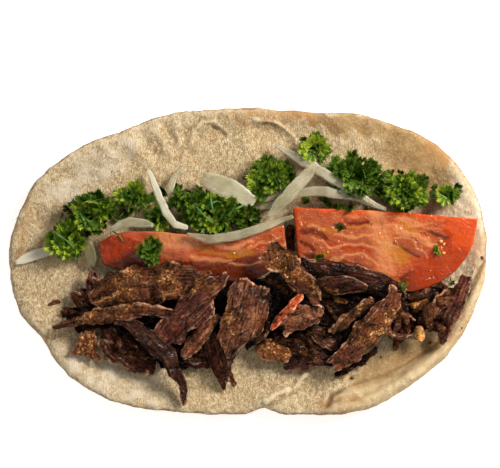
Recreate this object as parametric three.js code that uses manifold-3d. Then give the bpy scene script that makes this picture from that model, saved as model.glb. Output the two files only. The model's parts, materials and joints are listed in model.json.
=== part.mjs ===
// Open doner kebab sandwich: a split oval pita laid open, crumb side up, with a band of meat
// shavings along the front, two tomato slices behind them, and onion slivers and parsley at the back.
// Units are millimetres, +Z is up, +X runs along the bread and +Y points to its back edge.

import * as THREE from 'three';
import { mergeVertices } from 'three/addons/utils/BufferGeometryUtils.js';
import Module from 'manifold-3d';

const wasm = await Module();
wasm.setup();

// ---------------------------------------------------------------- driving dimensions

const GAP = 0.3;
const MERGE_DISTANCE = 1e-4;

const BREAD = {
  halfLength: 105.6,
  halfWidth: 68,
  squareness: 2.3,
  thickness: 6.2,
  flatShare: 0.8,
  rimLift: 3,
  rimWave: { height: 1.2, number: 5, phase: 0.8 },
  roundShare: 0.955,
  restShare: 0.97,
  crumbWave: { height: 0.5, along: 7, across: 5 },
  segments: 56,
  crumbRings: [0.36, 0.66, 0.82, 0.87, 0.91, 0.94, 0.965, 0.985],
  crustRings: [0.8, 0.89, 0.95, 0.985],
};

// Swells and dips of the rim: angle and spread in degrees, height in millimetres.
const RIM_SWELLS = [
  { at: 15, spread: 11, height: 2.2 },
  { at: 34, spread: 12, height: 5.6 },
  { at: 52, spread: 8, height: 3.4 },
  { at: 135, spread: 8, height: -3 },
  { at: 149, spread: 5, height: -1.6 },
  { at: 164, spread: 7, height: -0.8 },
  { at: -161, spread: 8, height: -4.6 },
  { at: -166, spread: 3.4, height: 2 },
  { at: -134, spread: 14, height: 2.2 },
  { at: -84, spread: 5, height: -3.6 },
  { at: -53, spread: 12, height: 3.8 },
  { at: -15, spread: 8, height: -1.6 },
];

// The thicker lip where the lower half of the pita shows past the split, on the front right.
const LIP = {
  from: -70,
  to: 6,
  fade: 14,
  share: 0.952,
  spread: 0.03,
  height: 2.6,
  groove: 1.2,
  grooveShare: 0.9,
};

const TOMATO = { thickness: 5.6, stations: 10, across: 4 };

const SHAVING = { stations: 6, ragged: 0.09, edgeThin: 0.45, plump: 1.24 };

// A strip's section: where its corners lie across it, from -1 to 1, on its upper and lower side.
// Its sides waver at this rate, and its ends keep these shares of its width and thickness.
const STRIP = {
  upper: [-1, -0.62, 0.1, 0.7, 1],
  lower: [0.6, -0.1, -0.66],
  waver: 9.7,
  endTurn: 0.12,
  endThick: 0.6,
};

// The heap is stretched upward from the crumb by this much.
const HEAP_RISE = 1.12;

// A tuft's underside takes this share of its height, and it stands this far off the crumb.
const TUFT = { underside: 0.3, lump: 0.12, lumpsAlong: 5, lumpsAcross: 6, clear: 1.2 };

const SLIVER = { stations: 5, edgeThin: 0.55 };

const ROUGHNESS = { bread: 0.9, tomato: 0.25, onion: 0.35, meat: 0.6, parsley: 0.6 };

const COLOURS = {
  bread: 0xcdb38a,
  tomato: 0xc8503a,
  onion: 0xd4ccaa,
  parsley: 0x3f6d22,
  meat: 0x6a4434,
  fat: 0xb98a3c,
};

// ---------------------------------------------------------------- the pieces
// Places are [x, y, height above the crumb]. A taper is the width at the start, middle and end.

const TOMATOES = [
  {
    name: 'tomato_left',
    back: [
      [-65.6, 8, 3.2], [-57, 12.8, 6.4], [-38, 13, 8.4], [-22, 11.2, 8.6],
      [-9, 8.4, 8], [4, 13.4, 8], [16, 16.2, 6.4],
    ],
    front: [[-63.5, -1, 3], [-45, -6.5, 3.2], [-20, -9, 3.4], [2, -8.5, 3.4], [17.6, 1.5, 3.6]],
  },
  {
    name: 'tomato_right',
    back: [[20, 23.8, 4.8], [60, 22.2, 5.4], [100.8, 18.6, 4.6]],
    front: [
      [23, -5, 3.4], [40, -9.6, 3.4], [60, -13.4, 3.4],
      [78, -12, 3.4], [93, -2.6, 3.4], [99, 8, 3.6],
    ],
  },
];

const ONIONS = [
  {
    name: 'onion_top', width: 6.6, thick: 1.9,
    path: [[30.5, 43, 12.4], [20, 31, 13.6], [9, 18.8, 13]],
  },
  { name: 'onion_long', width: 5, thick: 1.9, path: [[12, 51.5, 4.6], [34, 38, 9.4], [56, 25, 10]] },
  {
    name: 'onion_bow', width: 4.8, thick: 1.9,
    path: [[-26.5, 11.8, 13], [-13, 9.6, 12.6], [-1, 12.6, 12.4], [20, 20.2, 11]],
  },
  {
    name: 'onion_wedge', width: 11, thick: 1.8,
    path: [[-20, 37, 6.4], [-9, 32, 9.4], [3, 25.4, 8.6]],
  },
  {
    name: 'onion_flat', width: 5.4, thick: 1.9,
    path: [[-102, -0.6, 1.8], [-93, 3.4, 1.6], [-80, 7.2, 1.5]],
  },
  {
    name: 'onion_end', width: 6.4, thick: 1.9,
    path: [[-71.5, 10, 5.4], [-69.4, 3.4, 4], [-68.8, -2.4, 2.6]],
  },
  {
    name: 'onion_arch', width: 5, thick: 1.9,
    path: [[-60, 14, 10], [-51.5, 17, 11.4], [-41, 15.4, 11.4]],
  },
  {
    name: 'onion_hook', width: 4.2, thick: 1.9,
    path: [[-44, 40.5, 3.4], [-38, 27, 6.6], [-33, 17, 12.2], [-26, 14.6, 12.6]],
  },
  { name: 'onion_curl', width: 3.4, thick: 1.9, path: [[-28.4, 41.6, 3], [-33, 36.6, 4], [-34, 28, 6]] },
  {
    name: 'onion_sweep', width: 5, thick: 1.9,
    path: [[7, 27, 7.4], [26, 31, 8.6], [42, 29.4, 8.6], [61, 23.4, 8]],
  },
  { name: 'onion_short', width: 4, thick: 1.9, path: [[3, 22.6, 5], [13, 26.6, 5.4], [23.5, 32, 5]] },
];

// From the top of the heap down: each shaving is trimmed by the ones before it.
const SHAVINGS = [
  {
    name: 'meat_crust_slant', from: [8.6, 3.6, 15.4], to: [32, -18, 14.6],
    width: 11, thick: 3.8, taper: [1, 1, 0.45], roll: 18, bow: 1,
  },
  {
    name: 'meat_long_crust', from: [64, -14.6, 15.6], to: [37.6, -45.4, 8.6],
    width: 12, thick: 4.6, taper: [0.6, 1, 0.45], roll: -14, bow: 1.6, arch: 2,
  },
  {
    name: 'meat_fibre_fan', from: [3.4, -11, 13.4], to: [-8.4, -39.4, 8.8],
    width: 20, thick: 4.6, taper: [1, 0.84, 0.3], roll: -8, arch: 2.4,
  },
  {
    name: 'meat_fibre_leaf', from: [-10, -7.4, 13], to: [-37.4, -34.4, 9.6],
    width: 14.5, thick: 4.6, taper: [0.25, 1, 0.55], roll: 14, arch: 2,
  },
  {
    name: 'meat_crescent', from: [-82, -28.4, 7.4], to: [-33, -22.4, 11.2],
    width: 7.6, thick: 4.8, taper: [0.3, 1, 0.5], roll: 12, bow: 2.6, arch: 2,
  },
  {
    name: 'meat_spike', from: [-55, -25.6, 10.6], to: [-27.6, -61.6, 2.8],
    width: 8.4, thick: 4, taper: [0.7, 1, 0.1], roll: -16, bow: 6, arch: 2.4,
  },
  {
    name: 'meat_red_sliver', from: [23.4, -14.4, 13.6], to: [10.6, -29, 11.8],
    width: 4.6, thick: 3, taper: [0.9, 1, 0.3], roll: 20,
  },
  {
    name: 'meat_thin_crust', from: [36, -31, 11], to: [54, -17.4, 12.2],
    width: 5.6, thick: 4, taper: [0.6, 1, 0.6], roll: 24,
  },
  {
    name: 'meat_dark_leaf', from: [24.6, -11.4, 11.4], to: [51.6, -12, 11.8],
    width: 9, thick: 3.2, taper: [0.3, 1, 0.3], roll: 24, bow: 1.6,
  },
  {
    name: 'meat_brown_chunk', from: [14.6, -28, 9.8], to: [33, -21, 10.6],
    width: 10.4, thick: 4.6, taper: [0.8, 1, 0.7], roll: 8, arch: 1.4,
  },
  {
    name: 'meat_right_strip', from: [96, -7.4, 8.6], to: [85.6, -34.6, 4.6],
    width: 8.2, thick: 3.8, taper: [0.65, 1, 0.3], roll: 26, bow: -1.4, arch: 1.6,
  },
  {
    name: 'meat_steep_strip', from: [-14, -24, 11.6], to: [-28, -41, 5.6],
    width: 7, thick: 4, taper: [0.7, 1, 0.5], roll: -22,
  },
  {
    name: 'meat_back_slab', from: [-66, -12.4, 7.6], to: [-15, -9.4, 9.2],
    width: 16.4, thick: 4.6, taper: [0.7, 1, 0.5], roll: -6, arch: 1.6,
  },
  {
    name: 'meat_back_plate', from: [22, -3, 9.2], to: [67, -13, 8.6],
    width: 12.4, thick: 3.4, taper: [0.6, 1, 0.5], roll: 8, bow: 1.2,
  },
  {
    name: 'meat_dark_wedge', from: [9, -26.4, 10], to: [-0.6, -39.4, 6.4],
    width: 6.4, thick: 3.6, taper: [0.9, 1, 0.3], roll: 18,
  },
  {
    name: 'meat_brown_wedge', from: [77.4, -24.6, 8], to: [88, -14.6, 9],
    width: 8.4, thick: 4.4, taper: [0.4, 0.9, 1], roll: 10,
  },
  {
    name: 'meat_fat_lump', from: [75.2, -28.4, 7.6], to: [75.2, -34.6, 7.2],
    width: 5.6, thick: 4.6, taper: [0.7, 1, 0.7], fat: true,
  },
  {
    name: 'meat_dark_point', from: [-15.6, -32, 7.8], to: [-9.4, -56, 2.4],
    width: 9, thick: 4, taper: [0.7, 1, 0.16], roll: 14, arch: 1,
  },
  {
    name: 'meat_olive_fibre', from: [25, -27.6, 6.2], to: [41, -36.4, 6],
    width: 8.6, thick: 4, taper: [0.6, 1, 0.6], roll: -10,
  },
  {
    name: 'meat_wedge_left', from: [-68.2, -25.4, 5.6], to: [-71.4, -41.6, 3],
    width: 13.4, thick: 4.6, taper: [0.4, 0.74, 1], roll: 6,
  },
  {
    name: 'meat_dark_flat', from: [-65, -27, 4.8], to: [-40.4, -46, 2.9],
    width: 11.4, thick: 4, taper: [0.6, 1, 0.5], roll: -6, bow: -4,
  },
  {
    name: 'meat_tan_chunk', from: [4.6, -34, 6.2], to: [18, -42.6, 5],
    width: 8.4, thick: 4.8, taper: [0.7, 1, 0.6], roll: 10,
  },
  {
    name: 'meat_purple_strip', from: [-70, -2.8, 5.6], to: [-66, -19, 5],
    width: 6, thick: 3.4, taper: [0.6, 1, 0.6], roll: -14,
  },
  {
    name: 'meat_lower_slab', from: [16.8, -42, 3.4], to: [39.6, -41.4, 3.6],
    width: 12, thick: 4.4, taper: [0.9, 1, 0.55], roll: 4,
  },
  {
    name: 'meat_dark_bit', from: [-76, -13.6, 4], to: [-69, -23, 4.2],
    width: 6.2, thick: 4, taper: [0.6, 1, 0.6], roll: 12,
  },
  {
    name: 'meat_dark_chip', from: [-76.6, -23.4, 2.6], to: [-71.4, -33, 2.4],
    width: 5.4, thick: 3.6, taper: [0.5, 1, 0.6],
  },
  {
    name: 'meat_charred_strip', from: [39, -49.4, 2.2], to: [57.4, -38, 3.4],
    width: 4, thick: 3.2, taper: [0.4, 1, 0.5], bow: -0.8,
  },
  {
    name: 'meat_under_left', from: [-74, -19, 3.5], to: [-28, -30, 3.8],
    width: 22, thick: 5.8, taper: [0.6, 1, 0.8],
  },
  {
    name: 'meat_under_mid', from: [-32, -14.6, 3.8], to: [18, -17.4, 4.4],
    width: 24, thick: 6.4, taper: [0.8, 1, 0.9],
  },
  {
    name: 'meat_under_front', from: [-52, -37.6, 2.9], to: [-8, -42, 2.9],
    width: 14.6, thick: 4.6, taper: [0.5, 1, 0.7],
  },
  {
    name: 'meat_under_right', from: [8, -27, 3.6], to: [54, -25, 3.8],
    width: 23, thick: 5.8, taper: [0.9, 1, 0.8],
  },
  {
    name: 'meat_under_ring', from: [48, -20, 3.6], to: [84, -22.6, 3.2],
    width: 18, thick: 5.2, taper: [0.8, 1, 0.6],
  },
  {
    name: 'meat_under_end', from: [70, -15.6, 3.4], to: [94.6, -17.6, 3.1],
    width: 11, thick: 4.8, taper: [0.6, 1, 0.6],
  },
];

// A shaving rolled up on itself, standing on its edge.
const CURL = {
  name: 'meat_curled_ring',
  at: [67.4, -28.2, 8],
  radius: 5.6,
  oval: 0.16,
  start: 20,
  sweep: 300,
  stations: 11,
  width: 9,
  thick: 3.2,
  endThick: 0.5,
};

const PARSLEY = [
  { name: 'parsley_rosette', at: [-79.3, 9.7], radii: [10, 9.4, 7], turn: 20, detail: 1 },
  { name: 'parsley_left', at: [-68.7, 22], radii: [12.6, 9.6, 9], turn: 15, detail: 1 },
  { name: 'parsley_tips', at: [-51, 28.6], radii: [8, 5.4, 6], turn: 10, detail: 1 },
  { name: 'parsley_small', at: [-40, 19], radii: [5.4, 5, 8], turn: 0, detail: 1 },
  { name: 'parsley_sprig', at: [-42.3, 4], radii: [5, 7.4, 4], turn: 10, detail: 1, rest: 8 },
  { name: 'parsley_mid', at: [-14.5, 21.6], radii: [22, 9.4, 10], turn: -6, detail: 2 },
  { name: 'parsley_back', at: [9.7, 36.6], radii: [12.4, 9, 9.6], turn: -10, detail: 1 },
  { name: 'parsley_top', at: [29, 49.8], radii: [6.8, 7.8, 8.4], turn: 0, detail: 1 },
  { name: 'parsley_right', at: [48.5, 37.6], radii: [15.4, 10, 11], turn: -16, detail: 2 },
  { name: 'parsley_end', at: [69.6, 31.4], radii: [13.4, 9.4, 10.4], turn: -14, detail: 2 },
  { name: 'parsley_leaf', at: [88, 29.8], radii: [6, 5.8, 6], turn: 30, detail: 1 },
];

// ---------------------------------------------------------------- small helpers

const TURN = Math.PI * 2;

function radians(degrees) {
  return degrees * Math.PI / 180;
}

function bell(offset, spread) {
  return Math.exp(-((offset / spread) ** 2));
}

function smooth(value) {
  const t = THREE.MathUtils.clamp(value, 0, 1);
  return t * t * (3 - 2 * t);
}

function angleGap(a, b) {
  return THREE.MathUtils.euclideanModulo(a - b + 180, 360) - 180;
}

// The value at t of the parabola through three values at the start, middle and end.
function throughThree([start, middle, end], t) {
  return start * (1 - t) * (1 - 2 * t) + 4 * middle * t * (1 - t) + end * t * (2 * t - 1);
}

// ---------------------------------------------------------------- bread

function rimRadius(angle) {
  const along = Math.abs(Math.cos(angle)) / BREAD.halfLength;
  const across = Math.abs(Math.sin(angle)) / BREAD.halfWidth;
  let radius = (along ** BREAD.squareness + across ** BREAD.squareness) ** (-1 / BREAD.squareness);
  for (const swell of RIM_SWELLS) {
    radius += swell.height * bell(angleGap(THREE.MathUtils.radToDeg(angle), swell.at), swell.spread);
  }
  return radius;
}

// The underside is flat in the middle and rises in a wavy curve to the rim.
function crustHeight(share, angle) {
  const rise = smooth((share - BREAD.flatShare) / (1 - BREAD.flatShare));
  const { height, number, phase } = BREAD.rimWave;
  return rise * (BREAD.rimLift + height * Math.sin(number * angle + phase));
}

function lipStrength(angle) {
  const degrees = THREE.MathUtils.radToDeg(Math.atan2(Math.sin(angle), Math.cos(angle)));
  const entry = smooth((degrees - LIP.from) / LIP.fade);
  const exit = smooth((LIP.to - degrees) / LIP.fade);
  return entry * exit;
}

// How much of the full thickness is left where the rim rounds over.
function rimRoundness(share) {
  const over = Math.max(0, share - BREAD.roundShare) / (1 - BREAD.roundShare);
  return Math.sqrt(Math.max(0, 1 - over * over));
}

function crumbHeight(share, angle) {
  const { height, along, across } = BREAD.crumbWave;
  const swell = Math.sin(along * share * Math.cos(angle)) * Math.cos(across * share * Math.sin(angle));
  const wave = height * swell * (1 - share);
  const lip = LIP.height * bell(share - LIP.share, LIP.spread);
  const groove = LIP.groove * bell(share - LIP.grooveShare, LIP.spread);
  return BREAD.thickness + wave + lipStrength(angle) * (lip - groove);
}

function breadPoint(share, angle, onCrumb, grow) {
  const radius = share * rimRadius(angle);
  const base = crustHeight(share, angle);
  const full = crumbHeight(share, angle);
  const half = full * rimRoundness(share) / 2;
  const z = onCrumb ? base + full / 2 + half + grow : base + full / 2 - half;
  return [radius * Math.cos(angle), radius * Math.sin(angle), z];
}

// The crumb's height under a place, from the same rings that the solid has.
function crumbUnder(x, y) {
  const angle = Math.atan2(y, x);
  const share = Math.min(BREAD.restShare, Math.hypot(x, y) / rimRadius(angle));
  return breadPoint(share, angle, true, 0)[2];
}

function breadGeometry(grow = 0) {
  const positions = [];
  const indices = [];
  const count = BREAD.segments;
  const shells = [
    ...BREAD.crumbRings.map((share) => ({ share, onCrumb: true })),
    { share: 1, onCrumb: true },
    ...[...BREAD.crustRings].reverse().map((share) => ({ share, onCrumb: false })),
  ];
  positions.push(...breadPoint(0, 0, true, grow));
  for (const shell of shells) {
    for (let i = 0; i < count; i += 1) {
      positions.push(...breadPoint(shell.share, TURN * i / count, shell.onCrumb, grow));
    }
  }
  positions.push(...breadPoint(0, 0, false, 0));
  const last = positions.length / 3 - 1;
  for (let i = 0; i < count; i += 1) {
    const next = (i + 1) % count;
    indices.push(0, 1 + i, 1 + next);
    for (let ring = 0; ring + 1 < shells.length; ring += 1) {
      const near = 1 + ring * count;
      const far = near + count;
      indices.push(near + i, far + i, far + next, near + i, far + next, near + next);
    }
    const final = 1 + (shells.length - 1) * count;
    indices.push(final + i, last, final + next);
  }
  return indexedGeometry(positions, indices);
}

function indexedGeometry(positions, indices) {
  const geometry = new THREE.BufferGeometry();
  geometry.setAttribute('position', new THREE.Float32BufferAttribute(positions, 3));
  geometry.setIndex(indices);
  return geometry;
}

// ---------------------------------------------------------------- lofted strips

// A closed skin over rings of points, with a fan on each end.
function loft(rings) {
  const count = rings[0].length;
  const positions = rings.flat().flatMap((point) => point.toArray());
  const indices = [];
  for (let ring = 0; ring + 1 < rings.length; ring += 1) {
    for (let i = 0; i < count; i += 1) {
      const next = (i + 1) % count;
      const near = ring * count;
      const far = near + count;
      indices.push(near + i, near + next, far + next, near + i, far + next, far + i);
    }
  }
  const lastRing = (rings.length - 1) * count;
  for (const [ring, start, flip] of [[rings[0], 0, false], [rings.at(-1), lastRing, true]]) {
    const centre = ring.reduce((sum, point) => sum.add(point), new THREE.Vector3());
    centre.divideScalar(count);
    const hub = positions.length / 3;
    positions.push(...centre.toArray());
    for (let i = 0; i < count; i += 1) {
      const next = (i + 1) % count;
      indices.push(hub, start + (flip ? i : next), start + (flip ? next : i));
    }
  }
  return indexedGeometry(positions, indices);
}

// Half a cross-section's height at a place across it, from -1 to 1, thin at both edges.
function edgeThickness(across, edgeThin) {
  return edgeThin + (1 - edgeThin) * Math.sqrt(Math.max(0, 1 - across * across));
}

// One ring of a strip: flat, a little crowned, with rounded edges.
function stripRing(centre, side, up, halfWidth, halfThick, edgeThin) {
  const points = [];
  for (const [set, sign] of [[STRIP.upper, 1], [STRIP.lower, -1]]) {
    for (const across of set) {
      const lift = Math.abs(across) === 1 ? 0 : sign * edgeThickness(across, edgeThin) * halfThick;
      const point = centre.clone().addScaledVector(side, across * halfWidth);
      points.push(point.addScaledVector(up, lift));
    }
  }
  return points;
}

// The share of a sliver's width at t, narrow at both ends.
function roundedTaper(t) {
  return Math.sqrt(Math.sin(Math.PI * (STRIP.endTurn + (1 - 2 * STRIP.endTurn) * t)));
}

// A strip of even sections along a curve, turned about it by a roll in degrees.
function strip(curve, spec, grow) {
  const rings = [];
  const lengthGrow = grow / curve.getLength();
  for (let i = 0; i < spec.stations; i += 1) {
    const t = i / (spec.stations - 1);
    const centre = curve.getPoint(t);
    const heading = curve.getTangent(t);
    centre.addScaledVector(heading, (2 * t - 1) * lengthGrow * curve.getLength());
    const side = new THREE.Vector3(0, 0, 1).cross(heading).normalize();
    side.applyAxisAngle(heading, radians(spec.roll ?? 0));
    const up = heading.clone().cross(side);
    const wobble = 1 + (spec.ragged ?? 0) * Math.sin(STRIP.waver * t + centre.x);
    const taper = spec.taper ? throughThree(spec.taper, t) : roundedTaper(t);
    const halfWidth = spec.width / 2 * taper * wobble + grow;
    const thinEnds = STRIP.endThick + (1 - STRIP.endThick) * Math.sin(Math.PI * t);
    const halfThick = spec.thick / 2 * (spec.plump ?? 1) * thinEnds + grow;
    rings.push(stripRing(centre, side, up, halfWidth, halfThick, spec.edgeThin));
  }
  return loft(rings);
}

function aboveCrumb([x, y, height]) {
  return new THREE.Vector3(x, y, crumbUnder(x, y) + HEAP_RISE * height);
}

function shavingGeometry(spec, grow = 0) {
  const start = aboveCrumb(spec.from);
  const end = aboveCrumb(spec.to);
  const left = new THREE.Vector3(start.y - end.y, end.x - start.x, 0).normalize();
  const path = [0, 1 / 3, 2 / 3, 1].map((t) => {
    const point = start.clone().lerp(end, t);
    const swing = Math.sin(Math.PI * t);
    point.addScaledVector(left, swing * (spec.bow ?? 0));
    point.z += swing * (spec.arch ?? 0);
    return point;
  });
  return strip(new THREE.CatmullRomCurve3(path), { ...SHAVING, ...spec, path }, grow);
}

function sliverGeometry(spec, grow = 0) {
  const path = spec.path.map(aboveCrumb);
  return strip(new THREE.CatmullRomCurve3(path), { ...SLIVER, ...spec, path }, grow);
}

// A strip standing on its edge round an open ring.
function curlGeometry(spec, grow = 0) {
  const middle = aboveCrumb(spec.at);
  const up = new THREE.Vector3(0, 0, 1);
  const rings = [];
  for (let i = 0; i < spec.stations; i += 1) {
    const t = i / (spec.stations - 1);
    const angle = radians(spec.start + spec.sweep * t);
    const outward = new THREE.Vector3(Math.cos(angle), Math.sin(angle), 0);
    const radius = spec.radius * (1 + spec.oval * Math.cos(2 * angle));
    const centre = middle.clone().addScaledVector(outward, radius);
    const thinEnds = spec.endThick + (1 - spec.endThick) * Math.sin(Math.PI * t);
    const halfThick = spec.thick / 2 * thinEnds + grow;
    rings.push(stripRing(centre, up, outward, spec.width / 2 + grow, halfThick, SHAVING.edgeThin));
  }
  return loft(rings);
}

// ---------------------------------------------------------------- tomato slices

// A half slice between its straight back edge and its round front edge.
function tomatoGeometry(spec, grow = 0) {
  const back = new THREE.CatmullRomCurve3(spec.back.map(aboveCrumb));
  const front = new THREE.CatmullRomCurve3(spec.front.map(aboveCrumb));
  const rings = [];
  for (let i = 0; i < TOMATO.stations; i += 1) {
    const t = i / (TOMATO.stations - 1);
    const from = back.getPoint(t);
    const to = front.getPoint(t);
    const across = to.clone().sub(from).normalize();
    from.addScaledVector(across, -grow);
    to.addScaledVector(across, grow);
    from.x += (2 * t - 1) * grow;
    to.x += (2 * t - 1) * grow;
    const half = TOMATO.thickness / 2 + grow;
    const points = [];
    for (const sign of [1, -1]) {
      for (let j = 0; j < TOMATO.across; j += 1) {
        const share = sign > 0 ? j / (TOMATO.across - 1) : 1 - j / (TOMATO.across - 1);
        const point = from.clone().lerp(to, share);
        point.z += sign * half;
        points.push(point);
      }
    }
    rings.push(points);
  }
  return loft(rings);
}

// ---------------------------------------------------------------- parsley

// A lumpy tuft, flatter below than above, that rests on the crumb or on what it lies on.
function tuftGeometry(spec, grow = 0) {
  const geometry = new THREE.IcosahedronGeometry(1, spec.detail);
  const [x, y] = spec.at;
  const [rx, ry, rz] = spec.radii;
  const floor = crumbUnder(x, y) + HEAP_RISE * (spec.rest ?? 0) + TUFT.clear;
  const place = geometry.getAttribute('position');
  const point = new THREE.Vector3();
  for (let i = 0; i < place.count; i += 1) {
    point.fromBufferAttribute(place, i);
    const lump = Math.sin(TUFT.lumpsAlong * point.x + x) * Math.cos(TUFT.lumpsAcross * point.y + y);
    const lumps = 1 + TUFT.lump * lump;
    const sink = point.z < 0 ? TUFT.underside : 1 - TUFT.underside;
    point.multiply(new THREE.Vector3(rx * lumps + grow, ry * lumps + grow, rz * lumps * sink + grow));
    point.applyAxisAngle(new THREE.Vector3(0, 0, 1), radians(spec.turn));
    place.setXYZ(i, point.x + x, point.y + y, point.z + floor + rz * TUFT.underside);
  }
  return geometry;
}

// ---------------------------------------------------------------- solids and cuts

// A manifold solid from a closed geometry, with its faces turned outwards.
function solidOf(geometry) {
  const bare = geometry.clone();
  bare.deleteAttribute('normal');
  bare.deleteAttribute('uv');
  const merged = mergeVertices(bare, MERGE_DISTANCE);
  const vertProperties = new Float32Array(merged.getAttribute('position').array);
  const triVerts = new Uint32Array(merged.getIndex().array);
  if (signedVolume(vertProperties, triVerts) < 0) {
    triVerts.reverse();
  }
  return new wasm.Manifold(new wasm.Mesh({ numProp: 3, vertProperties, triVerts }));
}

function signedVolume(places, triangles) {
  const corners = [new THREE.Vector3(), new THREE.Vector3(), new THREE.Vector3()];
  let total = 0;
  for (let i = 0; i < triangles.length; i += 3) {
    corners.forEach((corner, k) => corner.fromArray(places, 3 * triangles[i + k]));
    total += corners[0].dot(corners[1].clone().cross(corners[2])) / 6;
  }
  return total;
}

function geometryOf(solid) {
  const mesh = solid.getMesh();
  return indexedGeometry(Array.from(mesh.vertProperties), Array.from(mesh.triVerts));
}

function largestBody(solid) {
  return solid.decompose().reduce((best, body) => (body.volume() > best.volume() ? body : best));
}

function boxesMeet(a, b) {
  const one = a.boundingBox();
  const two = b.boundingBox();
  return [0, 1, 2].every((axis) => one.min[axis] < two.max[axis] && two.min[axis] < one.max[axis]);
}

// Each piece is cut clear of the grown outlines of the pieces that were laid before it.
const laid = [];

function layPiece(build, spec) {
  let solid = solidOf(build(spec));
  for (const other of laid) {
    if (boxesMeet(solid, other)) {
      solid = solid.subtract(other);
    }
  }
  laid.push(solidOf(build(spec, GAP)));
  return geometryOf(largestBody(solid));
}

// ---------------------------------------------------------------- the sandwich

const sandwich = new THREE.Group();

function addPiece(name, geometry, color, roughness) {
  const material = new THREE.MeshStandardMaterial({ color, roughness, metalness: 0 });
  const mesh = new THREE.Mesh(geometry, material);
  mesh.name = name;
  sandwich.add(mesh);
}

addPiece('bread', geometryOf(solidOf(breadGeometry())), COLOURS.bread, ROUGHNESS.bread);
laid.push(solidOf(breadGeometry(GAP)));

for (const spec of ONIONS) {
  addPiece(spec.name, layPiece(sliverGeometry, spec), COLOURS.onion, ROUGHNESS.onion);
}
for (const spec of TOMATOES) {
  addPiece(spec.name, layPiece(tomatoGeometry, spec), COLOURS.tomato, ROUGHNESS.tomato);
}
addPiece(CURL.name, layPiece(curlGeometry, CURL), COLOURS.meat, ROUGHNESS.meat);
for (const spec of SHAVINGS) {
  const colour = spec.fat ? COLOURS.fat : COLOURS.meat;
  addPiece(spec.name, layPiece(shavingGeometry, spec), colour, ROUGHNESS.meat);
}
for (const spec of PARSLEY) {
  addPiece(spec.name, layPiece(tuftGeometry, spec), COLOURS.parsley, ROUGHNESS.parsley);
}

// The origin is under the middle of the whole, on the surface it stands on.
const box = new THREE.Box3().setFromObject(sandwich);
const middle = box.getCenter(new THREE.Vector3());
sandwich.position.set(-middle.x, -middle.y, -box.min.z);

export default sandwich;
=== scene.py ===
"""Finished looks of an open doner kebab sandwich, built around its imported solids.

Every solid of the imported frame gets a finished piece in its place: the bread with its torn crumb,
the roast shavings with their fibres and crust, the wet tomato slices, the onion slivers and the
curly parsley. Small things that have no solid of their own, such as seeds and crumbs, are added.

Lengths in tables and fields are in millimetres. Those times MM are in metres, as modifiers want them.
"""

import json
import logging
import math
import random
from collections.abc import Callable
from dataclasses import dataclass, field
from enum import Enum
from functools import cache

import bpy
import numpy as np
from mathutils import Matrix, Vector
from mathutils.bvhtree import BVHTree

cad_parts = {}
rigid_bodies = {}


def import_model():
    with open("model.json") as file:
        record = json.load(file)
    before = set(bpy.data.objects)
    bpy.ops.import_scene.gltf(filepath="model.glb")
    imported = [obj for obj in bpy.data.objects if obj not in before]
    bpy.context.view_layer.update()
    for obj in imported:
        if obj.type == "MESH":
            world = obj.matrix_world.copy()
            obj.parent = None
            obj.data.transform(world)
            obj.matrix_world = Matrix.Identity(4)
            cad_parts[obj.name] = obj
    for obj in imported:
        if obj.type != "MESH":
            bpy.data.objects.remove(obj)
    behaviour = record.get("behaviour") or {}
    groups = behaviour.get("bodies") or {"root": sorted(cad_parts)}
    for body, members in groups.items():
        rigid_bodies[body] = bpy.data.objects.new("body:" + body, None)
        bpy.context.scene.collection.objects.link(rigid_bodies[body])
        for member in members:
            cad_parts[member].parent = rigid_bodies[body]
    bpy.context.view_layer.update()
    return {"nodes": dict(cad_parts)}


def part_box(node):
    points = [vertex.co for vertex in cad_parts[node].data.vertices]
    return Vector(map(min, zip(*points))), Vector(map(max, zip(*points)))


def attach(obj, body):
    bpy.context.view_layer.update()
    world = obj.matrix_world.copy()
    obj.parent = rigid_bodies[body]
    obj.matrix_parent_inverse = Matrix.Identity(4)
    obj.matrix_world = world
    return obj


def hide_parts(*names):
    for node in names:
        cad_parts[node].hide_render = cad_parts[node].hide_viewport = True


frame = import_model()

LOG = logging.getLogger("sandwich")
MM = 0.001
ALONG_ONLY = np.array([1.0, 0.0, 0.0])
Array = np.ndarray
Material = bpy.types.Material
Node = bpy.types.Node
Output = bpy.types.NodeSocket
Piece = bpy.types.Object
Tree = bpy.types.NodeTree
Point = tuple[float, float]
Triple = tuple[float, float, float]
Colour = Triple


# ------------------------ working on meshes


def only(*pieces: Piece) -> None:
    """Select just these pieces and make the first one active.

    Args:
        *pieces: the pieces to work on.
    """
    if bpy.context.object and bpy.context.object.mode != "OBJECT":
        bpy.ops.object.mode_set(mode="OBJECT")
    bpy.ops.object.select_all(action="DESELECT")
    for piece in pieces:
        piece.select_set(True)
    bpy.context.view_layer.objects.active = pieces[0]


def copy_node(node: str, name: str) -> Piece:
    """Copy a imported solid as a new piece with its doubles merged.

    Args:
        node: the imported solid's name.
        name: the new piece's name.

    Returns:
        The new piece, with its place in its mesh.
    """
    piece = bpy.data.objects.new(name, frame["nodes"][node].data.copy())
    piece.data.materials.clear()
    bpy.context.scene.collection.objects.link(piece)
    only(piece)
    bpy.ops.object.mode_set(mode="EDIT")
    bpy.ops.mesh.select_all(action="SELECT")
    bpy.ops.mesh.remove_doubles(threshold=0.01 * MM)
    bpy.ops.object.mode_set(mode="OBJECT")
    return piece


def use_modifier(piece: Piece, kind: str, **settings: object) -> None:
    """Add a modifier of one kind to a piece and apply it.

    Args:
        piece: the piece to change.
        kind: the modifier's type, such as DISPLACE.
        **settings: the modifier's own values.
    """
    only(piece)
    bpy.ops.object.modifier_add(type=kind)
    modifier = piece.modifiers[-1]
    for key, value in settings.items():
        setattr(modifier, key, value)
    bpy.ops.object.modifier_apply(modifier=modifier.name)


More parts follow.
